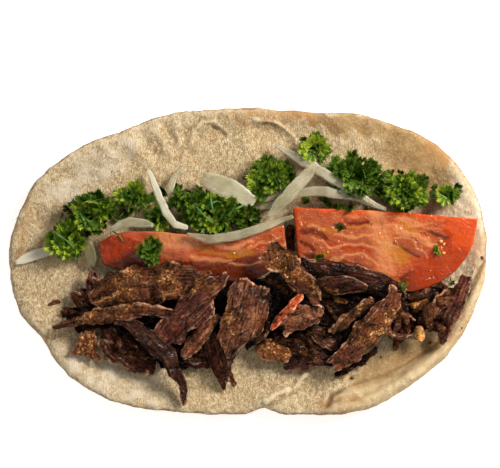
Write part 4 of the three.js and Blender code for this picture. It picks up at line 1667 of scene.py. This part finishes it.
@dataclass
class OnionSlivers:
    """The raw onion slivers laid over the parsley."""

    voxel: float = 0.42 * MM
    facets_smoothed: int = 14
    fullness: float = 0.16
    slimness: float = 0.95
    pointed: float = 0.35
    cupped: float = 0.35
    blunt: tuple[str, ...] = ("onion_wedge", "onion_hook")
    milk: dict[str, float] = field(default_factory=lambda: {
        "onion_top": 0.45, "onion_long": 0.5, "onion_bow": 0.4, "onion_wedge": 0.62, "onion_flat": 1.0,
        "onion_end": -0.4, "onion_arch": 0.45, "onion_hook": 0.95, "onion_curl": 0.5, "onion_sweep": 0.45,
        "onion_short": 0.6,
    })

    def build(self) -> list[Piece]:
        """Shape and dress every sliver.

        Returns:
            The finished slivers.
        """
        material = make_material("onion", OnionFinish().dress)
        return [self.shape(node, material, number) for number, node in enumerate(sorted(self.milk))]

    def shape(self, node: str, material: Material, number: int) -> Piece:
        """Shape one sliver from its solid.

        Args:
            node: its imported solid.
            material: the onion's material.
            number: its place in the list, which varies its outline.

        Returns:
            The finished sliver.
        """
        piece = copy_node(node, node.replace("onion", "sliver"))
        remesh(piece, self.voxel, self.facets_smoothed)
        middle, directions, flat = grain_frame(places(piece))
        bend = np.polyval(np.polyfit(flat[:, 0], flat[:, 1], 3), flat[:, 0])
        grain = np.stack([flat[:, 0], flat[:, 1] - bend, flat[:, 2]], axis=1)
        store_grain(piece, grain)
        along = flat[:, 0] / np.abs(flat[:, 0]).max()
        sides = side_share(flat[:, 0], flat[:, 1])
        pointed = self.pointed * (0.2 if node in self.blunt else 1.0)
        narrow = 1 - pointed * ease((np.abs(along) - 0.6) / 0.4)
        wander = 0.3 * ripple(flat * ALONG_ONLY, 9.0, 640 + number)
        flat[:, 1] = bend + grain[:, 1] * narrow * self.slimness + wander
        flat[:, 2] += self.cupped * (sides**2 - 0.4) * np.sign(directions[2, 2])
        set_places(piece, middle + flat @ directions)
        swell = self.fullness + 0.05 * ripple(grain[:, :2] * np.array([0.04, 1.0]), 2.4, 91)
        set_places(piece, places(piece) + facings(piece) * swell[:, None])
        # The edges get a painted highlight, weaker on the clearer slivers.
        outline = np.maximum(ease((standing_out(piece, 4) - 0.06) / 0.2), 0.7 * ease((sides - 0.72) / 0.28))
        milk = self.milk[node]
        paint(piece, milk=milk, edge=outline * min(1.0, 2 * max(0.0, milk)))
        finish_piece(piece, "onion", material, node)
        return piece


# ------------------------ parsley


class Frond(Enum):
    """The leaf shapes of a tuft: lobes, half spread in degrees, and cupping."""

    FAN = (4, 78.0, 0.2)
    CURL = (3, 60.0, 0.5)
    NARROW = (2, 30.0, 0.3)
    STAR = (5, 100.0, 0.1)
    FOLDED = (3, 54.0, -0.3)
    BLADE = (1, 14.0, 0.35)


# A lobe's rim from valley to valley: the share of its half width, and its reach.
LOBE: tuple[Point, ...] = (
    (-1, 0.42), (-0.84, 0.84), (-0.56, 0.72), (-0.3, 0.98), (-0.02, 0.82), (0.26, 1), (0.54, 0.72), (0.82, 0.84),
)


@dataclass(frozen=True)
class Tuft:
    """One tuft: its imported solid, its number of leaves, how bright it is, and where its leaves fan from."""

    node: str
    leaves: int
    bright: float = 0.5
    size: float = 5.6
    fans: int = 0


TUFTS: tuple[Tuft, ...] = (
    Tuft("parsley_rosette", 34, 0.48, 5.0, 15), Tuft("parsley_left", 46, 0.4, 5.0, 18),
    Tuft("parsley_tips", 20, 0.5, 5.0, 8), Tuft("parsley_small", 12, 0.5, 4.4, 5),
    Tuft("parsley_sprig", 18, 0.4, 4.2, 8), Tuft("parsley_mid", 70, 0.52, 5.0, 28),
    Tuft("parsley_back", 40, 0.5, 5.2, 14), Tuft("parsley_top", 22, 0.7, 4.5, 10),
    Tuft("parsley_right", 52, 0.38, 4.8, 20), Tuft("parsley_end", 42, 0.56, 4.7, 18),
    Tuft("parsley_leaf", 12, 0.5, 4.4, 5),
)


@dataclass
class Parsley:
    """The curly parsley: a few leaf shapes modelled once and laid over a smaller core."""

    core_share: Triple = (0.52, 0.52, 0.6)
    golden_turn: float = 2.4
    fan_reach: float = 0.52
    fan_lift: float = 0.35
    lean: float = 0.6
    seed: int = 11
    # Zones of leaves between the tufts: where, how many, how bright and how large.
    bridges: tuple[tuple[Mark, int, float, float], ...] = (
        (Mark((-74, 16), (13, 9), 40), 24, 0.5, 4.6), (Mark((-58, 24), (13, 6), 14), 34, 0.5, 4.6),
        (Mark((-40, 27), (13, 6)), 34, 0.45, 4.4), (Mark((-20, 24), (14, 8), -20), 40, 0.5, 4.8),
        (Mark((-4, 22), (13, 6)), 30, 0.4, 4.2), (Mark((11, 33), (10, 7), 30), 24, 0.5, 4.4),
        (Mark((43, 27), (24, 4.4), -8), 34, 0.42, 3.8), (Mark((70, 29), (12, 5), -10), 22, 0.5, 3.8),
        (Mark((40.6, 15.6), (1.6, 0.8)), 4, 0.3, 2.2), (Mark((30.8, 1.4), (1.6, 1)), 5, 0.5, 2.2),
        (Mark((82.6, 4.8), (1.8, 1.4)), 8, 0.75, 2.2), (Mark((68, -10.2), (1.2, 2)), 7, 0.75, 2.2),
        (Mark((90.4, -9), (1.8, 1)), 4, 0.45, 2.4),
    )

    def build(self) -> list[Piece]:
        """Build every tuft.

        Returns:
            The finished tufts.
        """
        material = make_material("parsley", LeafFinish().dress)
        patterns = [self.pattern(frond, number) for number, frond in enumerate(Frond)]
        made = [self.tuft(tuft, patterns, material, number) for number, tuft in enumerate(TUFTS)]
        made.append(self.loose_leaves(patterns, material))
        for pattern in patterns:
            bpy.data.objects.remove(pattern)
        return made

    def pattern(self, frond: Frond, number: int) -> Piece:
        """Model one leaf: a fan of toothed fingers, cupped, with a thin wall.

        Args:
            frond: which leaf shape.
            number: which random curls its fingers get.

        Returns:
            The leaf, one unit long, its foot at the origin and its tip along +Y.
        """
        lobes, spread, cup = frond.value
        draw = random.Random(100 + number)
        lifts = [draw.uniform(-0.4, 0.5) for _ in range(lobes)]
        rim = lobes * len(LOBE)
        bpy.ops.object.select_all(action="DESELECT")
        bpy.ops.mesh.primitive_circle_add(vertices=rim, radius=1.0, fill_type="TRIFAN")
        piece = bpy.context.object
        bpy.ops.object.mode_set(mode="EDIT")
        bpy.ops.mesh.select_all(action="SELECT")
        bpy.ops.mesh.inset(thickness=0.4, depth=0.0)
        bpy.ops.object.mode_set(mode="OBJECT")
        step_turn = 2 * math.pi / rim
        spacing = math.radians(2 * spread / lobes)
        for vertex in piece.data.vertices:
            ring = vertex.co.length
            step = round((math.atan2(vertex.co.x, vertex.co.y) + math.pi) / step_turn) % rim
            lobe, corner = divmod(step, len(LOBE))
            offset, reach = LOBE[corner]
            middle = math.radians(-spread) + (lobe + 0.5) * spacing
            long = reach * (1 - 0.26 * abs(middle) / math.radians(spread)) * min(1.0, ring)
            angle = middle + offset * spacing / 2
            rib = 0.05 if abs(offset) < 0.3 else -0.05
            lift = (cup + lifts[lobe]) * long**2 + rib * (0.2 < ring < 0.9) + 0.06 * (corner % 2) * (ring > 0.9)
            at_foot = ring <= 0.05
            vertex.co = Vector() if at_foot else Vector((long * math.sin(angle), long * math.cos(angle), lift))
        use_modifier(piece, "SOLIDIFY", thickness=0.05, offset=0.0)
        return piece

    def spots(self, tuft: Tuft, draw: random.Random) -> list[tuple[Vector, Vector]]:
        """Pick places on the tuft's solid, more on its upper side.

        Args:
            tuft: which tuft.
            draw: the random source.

        Returns:
            Places in millimetres, and the way out of the tuft at each.
        """
        mesh = frame["nodes"][tuft.node].data
        low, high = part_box(tuft.node)
        middle = (low + high) / 2
        faces = [face for face in mesh.polygons if face.normal.z > -0.3]
        sizes = [face.area * (1.2 + face.normal.z) for face in faces]
        picked = []
        for face in draw.choices(faces, sizes, k=tuft.leaves):
            corners = [mesh.vertices[index].co for index in face.vertices]
            shares = [draw.random() + 0.05 for _ in corners]
            spot = sum((corner * share for corner, share in zip(corners, shares)), Vector()) / sum(shares)
            outward = (spot - middle).normalized()
            inner = spot - outward * min((spot - middle).length, tuft.size * MM * draw.uniform(0.45, 0.85))
            picked.append((inner / MM, outward))
        return picked

    def tuft(self, tuft: Tuft, patterns: list[Piece], material: Material, number: int) -> Piece:
        """Lay leaves over one tuft's core and join them.

        Args:
            tuft: which tuft.
            patterns: the leaves to copy.
            material: the leaf material.
            number: the tuft's place in the list.

        Returns:
            The finished tuft.
        """
        draw = random.Random(self.seed + number)
        core = copy_node(tuft.node, tuft.node + "_tuft")
        points = places(core)
        middle = points.mean(axis=0)
        set_places(core, middle + (points - middle) * np.array(self.core_share))
        # The core is painted the darkest green, as painted shade deep inside the tuft.
        paint(core, tone=0.02, rib=0.0)
        copies = [core]
        for spot, outward in self.spots(tuft, draw):
            copies.append(self.leaf(draw.choice(patterns), spot, outward, tuft, draw))
        low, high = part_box(tuft.node)
        reach = (high - low) / 2 / MM
        for turn_number in range(tuft.fans):
            angle = (turn_number + draw.uniform(0, 0.9)) * self.golden_turn
            way = Vector((math.cos(angle), math.sin(angle), 0.12))
            share = self.fan_reach * math.sqrt((turn_number + 0.5) / tuft.fans)
            spot = (low + high) / 2 / MM + Vector((way.x * reach.x * share, way.y * reach.y * share, 0))
            spot.z += reach.z * (1 - share**2) ** 0.5 * 0.9
            copies.append(self.leaf(patterns[draw.choice((0, 3, 0, 1))], spot, way, tuft, draw, self.fan_lift))
        piece = join_shapes(core.name, copies)
        finish_piece(piece, "parsley", material, tuft.node, smooth=False)
        return piece

    def loose_leaves(self, patterns: list[Piece], material: Material) -> Piece:
        """Lay leaves between the tufts, over whatever is there, and join them.

        Args:
            patterns: the leaves to copy.
            material: the leaf material.

        Returns:
            The finished leaves.
        """
        draw = random.Random(self.seed - 1)
        ground = finished("pita", "tomato", "sliver", "parsley", "shaving")
        slivers = finished("sliver")
        copies = []
        for zone, *wanted in self.bridges:
            leaves = Tuft("", *wanted)
            for _ in range(leaves.leaves):
                x, y = zone.pick(draw)
                outward = Vector((draw.uniform(-1, 1), draw.uniform(-1, 1), draw.uniform(-0.1, 0.4))).normalized()
                spot = Vector((x, y, ground.height((x, y)) + 0.12 * leaves.size))
                leaf = self.leaf(draw.choice(patterns), spot, outward, leaves, draw)
                if slivers.height((x, y)) > 0:
                    bpy.data.objects.remove(leaf)
                else:
                    copies.append(leaf)
        piece = join_shapes("parsley_loose_leaves", copies)
        finish_piece(piece, "parsley", material, smooth=False)
        return piece

    def leaf(self, pattern: Piece, spot: Vector, outward: Vector, tuft: Tuft, draw: random.Random,
             lift: float = 0.0) -> Piece:
        """Copy a leaf with its own mesh, turned outwards, with its own tone and painted shade.

        Args:
            pattern: the leaf to copy.
            spot: where its foot is, in millimetres.
            outward: the way out of the tuft.
            tuft: the tuft that it belongs to.
            draw: the random source.
            lift: how much brighter, larger and flatter than the others it is; the brightness is painted light on
                the tuft's top.

        Returns:
            The copy.
        """
        piece = copy_shape(pattern)
        jitter = Vector((draw.uniform(-1, 1), draw.uniform(-1, 1), draw.uniform(-0.5, 0.7)))
        tip = (outward + (0.6 - lift) * jitter).normalized()
        aside = Vector((draw.uniform(-1, 1), draw.uniform(-1, 1), 0))
        face = (Vector((0, 0, 1)) + (self.lean - lift) * aside).normalized()
        side = tip.cross(face).normalized()
        face = side.cross(tip).normalized()
        size = tuft.size * draw.uniform(0.7, 1.15) * (1 + 0.5 * lift)
        turn = Matrix((side, tip, face)).transposed().to_4x4()
        piece.matrix_world = Matrix.Translation(spot * MM) @ turn @ Matrix.Scale(size * MM, 4)
        reach = np.array([vertex.co.xy.length for vertex in piece.data.vertices])
        # Tone rises toward each leaf's tip and on the fan leaves on the tuft's top: painted shade at the foot and
        # painted light on tips and on top, added to the tuft's own and a random tone.
        level = tuft.bright + draw.uniform(-0.42, 0.3) + 0.4 * lift
        paint(piece, tone=np.clip(level - 0.36 + 0.56 * reach, 0, 1),
              rib=np.where(reach < 0.3, 0.4, 0.0) * (draw.random() < 0.5))
        return piece


# ------------------------ small loose things


@dataclass(frozen=True)
class Strip:
    """A thin thing from foot to tip: its half width, half thickness, rise in the middle and bow."""

    foot: Point
    tip: Point
    width: float
    thick: float
    arch: float = 0.5
    bow: float = 0.0


@dataclass(frozen=True)
class LooseStrips:
    """Stalks or shreds of one kind, laid over whatever is there and joined."""

    name: str
    slot: str
    strips: tuple[Strip, ...]
    rough: float = 0.0
    stations: int = 7

    def build(self, material: Material) -> Piece:
        """Lay the strips and dress them.

        Args:
            material: their material.

        Returns:
            The finished strips.
        """
        ground = finished("pita", "tomato", "sliver", "parsley", "shaving", "meat")
        shapes = [self.shape(strip, ground, number) for number, strip in enumerate(self.strips)]
        piece = join_shapes(self.name, shapes)
        dress_meat(piece, 71, 1.0)
        paint(piece, tone=0.5 + 0.35 * ripple(places(piece), 3, 72), rib=0.15)
        finish_piece(piece, self.slot, material)
        return piece

    def shape(self, strip: Strip, ground: Ground, number: int) -> Piece:
        """Draw a ball out into one strip.

        Args:
            strip: its ends and sizes.
            ground: what it lies on.
            number: which random unevenness it gets.

        Returns:
            The strip.
        """
        piece = unit_ball(3)
        unit = places(piece) * MM
        share = (unit[:, 0] + 1) / 2
        foot = np.array(strip.foot)
        run = np.array(strip.tip) - foot
        side = np.array([-run[1], run[0]]) / np.linalg.norm(run)
        middle = 1 - (2 * share - 1) ** 2
        full = (1 - unit[:, 0] ** 6) ** 0.5 / np.sqrt(np.maximum(1 - unit[:, 0] ** 2, 1e-6))
        centre = foot + share[:, None] * run
        flat = centre + side * (strip.bow * middle + unit[:, 1] * strip.width * full)[:, None]
        stops = np.linspace(0, 1, self.stations)
        heights = [ground.height(tuple(foot + stop * run)) for stop in stops]
        rest = np.interp(share, stops, np.convolve(np.pad(heights, 1, "edge"), (0.25, 0.5, 0.25), "valid"))
        rise = rest + strip.thick * (0.7 + unit[:, 2] * full) + strip.arch * middle
        spread = np.stack([4 * share, unit[:, 1], unit[:, 2]], axis=1)
        uneven = 1 + self.rough * ripple(spread, 1.2, 700 + number)
        set_places(piece, np.column_stack([centre + (flat - centre) * uneven[:, None], rise]))
        return piece


@dataclass(frozen=True)
class Grains:
    """Small round things of one kind, each at its own place on what is already there."""

    name: str
    slot: str
    finish: SpeckFinish
    on: str
    spots: tuple[Triple, ...]
    flat: float = 0.6
    rough: float = 0.15

    def build(self) -> Piece:
        """Lay the grains and join them.

        Returns:
            The finished grains.
        """
        ground = finished(self.on)
        draw = random.Random(len(self.name))
        pattern = unit_ball(2)
        directions = facings(pattern)
        swell = 1 + self.rough * ripple(directions, 0.8, 760)
        set_places(pattern, directions * swell[:, None])
        shapes = []
        for x, y, size in self.spots:
            piece = copy_shape(pattern)
            piece.location = Vector((x, y, ground.height((x, y)) + 0.3 * self.flat * size)) * MM
            piece.rotation_euler = (0.0, 0.0, draw.uniform(0, 2 * math.pi))
            piece.scale = (size, size * draw.uniform(0.6, 0.95), size * self.flat)
            shapes.append(piece)
        bpy.data.objects.remove(pattern)
        piece = join_shapes(self.name, shapes)
        finish_piece(piece, self.slot, make_material(self.finish.name, self.finish.dress))
        return piece


PARSLEY_STALKS = LooseStrips("parsley_stalks", "parsley", (
    Strip((-14.6, 20), (-16.4, 30), 0.4, 0.4, 1.4, 0.4), Strip((-26, 17), (-13, 26.4), 0.6, 0.4, 0.8, 1.2),
    Strip((-24, 26), (-15, 16.4), 0.45, 0.4, 0.8, -0.6), Strip((-9, 20), (-1, 24.6), 0.5, 0.4, 0.8, 0.6),
    Strip((-74, 22), (-70.6, 13.4), 0.5, 0.4, 0.8, 0.5), Strip((-84, 12), (-76, 6), 0.4, 0.4, 0.8, 0.4),
    Strip((-60, 13.6), (-54.6, 8.4), 0.3, 0.3, 0.4, 0.8), Strip((34, 35), (40.6, 29.6), 0.45, 0.4, 0.8, 0.5),
    Strip((-36, 30), (-30.6, 22), 0.4, 0.4, 0.9, 0.5),
))

LEAN_BITS = LooseStrips("meat_bits", "meat", (
    Strip((34, -19), (39.2, -26.4), 0.7, 0.5, 0.8, 0.4), Strip((83, -9.4), (88, -13.4), 1.3, 0.7, 0.3, 0.3),
    Strip((86, -14.6), (92.6, -10.6), 1.1, 0.7, 0.3, -0.4), Strip((88.6, -16.6), (84, -20.6), 1, 0.7, 0.3, 0.4),
    Strip((-88, -19), (-82.6, -17.6), 0.8, 0.5, 0.2, 0.4), Strip((-9, -48), (-6, -55), 0.9, 0.5, 0.3, 0.6),
    Strip((64, -30.4), (64.8, -39.2), 1.2, 0.7, 0.6, 0.6), Strip((77, -24), (80.6, -31), 1.1, 0.6, 0.5, 0.3),
    Strip((83, -19), (89.6, -16), 1.3, 0.8, 0.3, 0.4), Strip((82.4, -13), (84.6, -20), 1.2, 0.8, 0.4, 0.3),
    Strip((66, -19.6), (63, -34), 1.7, 1.4, 1.4, 0.8), Strip((69.6, -22), (70.6, -33), 1.3, 1.2, 1.2, -0.6),
), rough=0.35)

# The first two strips are dark strips standing in for painted shade in the gap between the tomato slices; the other
# two are dark meat scraps.
DARK_BITS_AND_GAP_SHADE = LooseStrips("dark_bits", "meat", (
    Strip((18.4, 16.6), (18.8, 4), 1.7, 1.2, 0.3), Strip((18, 6), (19.4, -4), 1.8, 1.2, 0.3, 0.2),
    Strip((83.4, -22), (84.8, -34), 2.1, 1.3, 0.8, 0.3), Strip((67.6, -21), (67, -36), 1.6, 1.2, 0.9, 0.4),
), rough=0.3)

FAT_BITS = LooseStrips("fat_bits", "fat", (
    Strip((34.8, -15.6), (43.6, -18), 1.2, 0.7, 0.4, 0.3), Strip((71.4, -20.2), (79.4, -17.2), 1.9, 0.8, 0.5, -0.5),
), rough=0.3)

TOMATO_BEADS = Grains("tomato_juice", "tomato",
                      SpeckFinish("tomato_juice", (0.62, 0.20, 0.06), (0.50, 0.09, 0.02), 1.2, 0.1), "tomato", (
    (25, 17, 0.4), (29, 8.6, 0.35), (33, 4.8, 0.4), (41, 17.8, 0.4), (44, 5.4, 0.35), (52, 13.4, 0.4),
    (60, 6.2, 0.4), (68, 12.6, 0.35), (74, 9.6, 0.45), (77, 4.2, 0.4), (83, 13, 0.4), (88, 7, 0.35),
    (80, -4, 0.45), (70, -7, 0.4), (62, -3.6, 0.35), (46, 1, 0.4), (38, 0.2, 0.4), (-52, 6, 0.4),
    (-44, 7.4, 0.35), (-28, 8.2, 0.4), (-20, 7.8, 0.4), (-12, 5.4, 0.35), (-6, 0.8, 0.4), (12, 8.6, 0.4),
    (23.4, 15.9, 0.6), (51.4, 19.3, 0.65), (35.7, 12.1, 0.55), (47.8, 12.1, 0.5), (50.7, 4.8, 0.45),
    (64.6, 8.8, 0.6), (54, 17.2, 0.5), (-3.4, 12, 0.5), (-1, 9.4, 0.4), (1.8, 12.6, 0.45), (4.6, 10, 0.5),
    (7.6, 12.6, 0.4), (10.6, 9, 0.45), (13.4, 11.2, 0.4), (9, 6.6, 0.5), (-5.4, 8, 0.4), (2.6, 7.2, 0.4),
    (-12, 9.4, 0.45)), 0.45, 0.1)
TOMATO_SEEDS = Grains("tomato_seeds", "tomato",
                      SpeckFinish("tomato_seed", (0.80, 0.52, 0.18), (0.62, 0.30, 0.07), 1.0, 0.2), "tomato", (
    (84.6, 8.8, 0.9), (85.9, 7.6, 0.7), (85.9, 3.7, 0.7), (57.8, 12.4, 0.5), (35, 4, 0.5), (-6, 3.6, 0.5),
    (31, 14, 0.4)), 0.5, 0.12)
GOLDEN_CRUMBS = Grains("golden_crumbs", "bread",
                       SpeckFinish("golden_crumb", (0.62, 0.34, 0.08), (0.40, 0.18, 0.04), 0.8), "pita", (
    (41.9, -50.2, 1.1), (-88.5, -33.9, 0.9), (97, -26, 0.5), (44.4, -48.8, 0.5), (30, -50, 0.4)), 0.5, 0.25)
BROWN_SPECKS = Grains("brown_specks", "meat",
                      SpeckFinish("brown_speck", (0.16, 0.05, 0.015), (0.05, 0.014, 0.005), 0.7), "pita", (
    (45.8, -51.1, 0.9), (58.6, -41.9, 0.6), (80.2, -35.7, 0.8), (103, 1.8, 0.8), (94, -29, 0.5),
    (80.2, -37.9, 0.4), (-30, 45, 0.3), (-60, 40, 0.3), (52, -45, 0.4), (-20, -48, 0.4)), 0.5, 0.25)


def add_small_things() -> None:
    """Lay the stalks, bits, juice, seeds and crumbs on the finished sandwich."""
    PARSLEY_STALKS.build(bpy.data.materials["parsley"])
    LEAN_BITS.build(bpy.data.materials["meat_lean"])
    DARK_BITS_AND_GAP_SHADE.build(bpy.data.materials["meat_scrap"])
    FAT_BITS.build(bpy.data.materials["meat_fat"])
    for grains in (TOMATO_BEADS, TOMATO_SEEDS, GOLDEN_CRUMBS, BROWN_SPECKS):
        grains.build()


# ------------------------ stage


@dataclass
class Studio:
    """A pale floor, soft light from the right, and a camera that looks almost straight down."""

    elevation: float = 88.0
    distance: float = 1.25
    width: float = 0.2203
    floor_side: float = 6.0
    floor_drop: float = 0.0002
    floor_glow: float = 0.62
    daylight: float = 0.22
    aim: Triple = (0.0009, 0.0123, 0.008)
    # Each soft square light: its name, place, side, watts and tint. It points at the sandwich.
    lamps: tuple[tuple[str, Triple, float, float, Colour], ...] = (
        ("key", (0.50, 0.34, 0.52), 0.26, 9.0, (1.0, 0.965, 0.92)),
        ("fill", (-0.45, 0.35, 0.8), 0.8, 1.3, (0.95, 0.97, 1.0)),
        ("front", (0.0, -0.6, 0.6), 0.6, 1.1, (1.0, 0.97, 0.93)),
    )

    def build(self) -> None:
        """Set up the floor, the lights, the world and the camera."""
        bpy.ops.object.select_all(action="DESELECT")
        bpy.ops.mesh.primitive_plane_add(size=self.floor_side, location=(0, 0, -self.floor_drop))
        floor = bpy.context.object
        floor.name = "floor"
        floor.data.materials.append(make_material("pale floor", self.dress_floor))
        for name, spot, size, power, tint in self.lamps:
            lamp = bpy.data.lights.new(name, "AREA")
            lamp.size, lamp.energy, lamp.color = size, power, tint
            holder = bpy.data.objects.new(name, lamp)
            holder.location = spot
            holder.rotation_euler = (-Vector(spot)).to_track_quat("-Z", "Y").to_euler()
            bpy.context.scene.collection.objects.link(holder)
        world = bpy.data.worlds.new("studio")
        world.use_nodes = True
        sky = world.node_tree.nodes["Background"]
        sky.inputs["Color"].default_value = (1.0, 1.0, 1.0, 1.0)
        sky.inputs["Strength"].default_value = self.daylight
        bpy.context.scene.world = world
        bpy.context.scene.view_settings.view_transform = "Standard"
        self.camera()

    def dress_floor(self, graph: Graph) -> dict[str, object]:
        """Write the nodes of the pale floor.

        Args:
            graph: the material's graph.

        Returns:
            What to feed the shader.
        """
        haze = graph.noise(graph.own_place(1.0), 2.0, 2.0)
        return {"Base Color": graph.mix(haze, (0.93, 0.93, 0.93), (0.96, 0.96, 0.96)), "Roughness": 0.9,
                "Emission Color": (1.0, 1.0, 1.0, 1.0), "Emission Strength": self.floor_glow}

    def camera(self) -> None:
        """Aim a long lens at the sandwich from nearly above."""
        lens = bpy.data.cameras.new("camera")
        lens.lens = lens.sensor_width * self.distance / self.width
        lens.clip_end = 20.0
        holder = bpy.data.objects.new("camera", lens)
        angle = math.radians(self.elevation)
        back = Vector((0.0, -math.cos(angle), math.sin(angle))) * self.distance
        holder.location = Vector(self.aim) + back
        holder.rotation_euler = (math.radians(90 - self.elevation), 0.0, 0.0)
        bpy.context.scene.collection.objects.link(holder)
        bpy.context.scene.camera = holder


def main() -> None:
    """Build the sandwich part by part and report each one."""
    logging.basicConfig(level=logging.INFO, format="%(name)s: %(message)s")
    Studio().build()
    for part in (Bread(), TomatoSlices(), OnionSlivers(), MeatHeap(), Scraps(), Parsley()):
        part.build()
        LOG.info("%s is done", type(part).__name__)
    add_small_things()


if __name__ == "__main__":
    main()
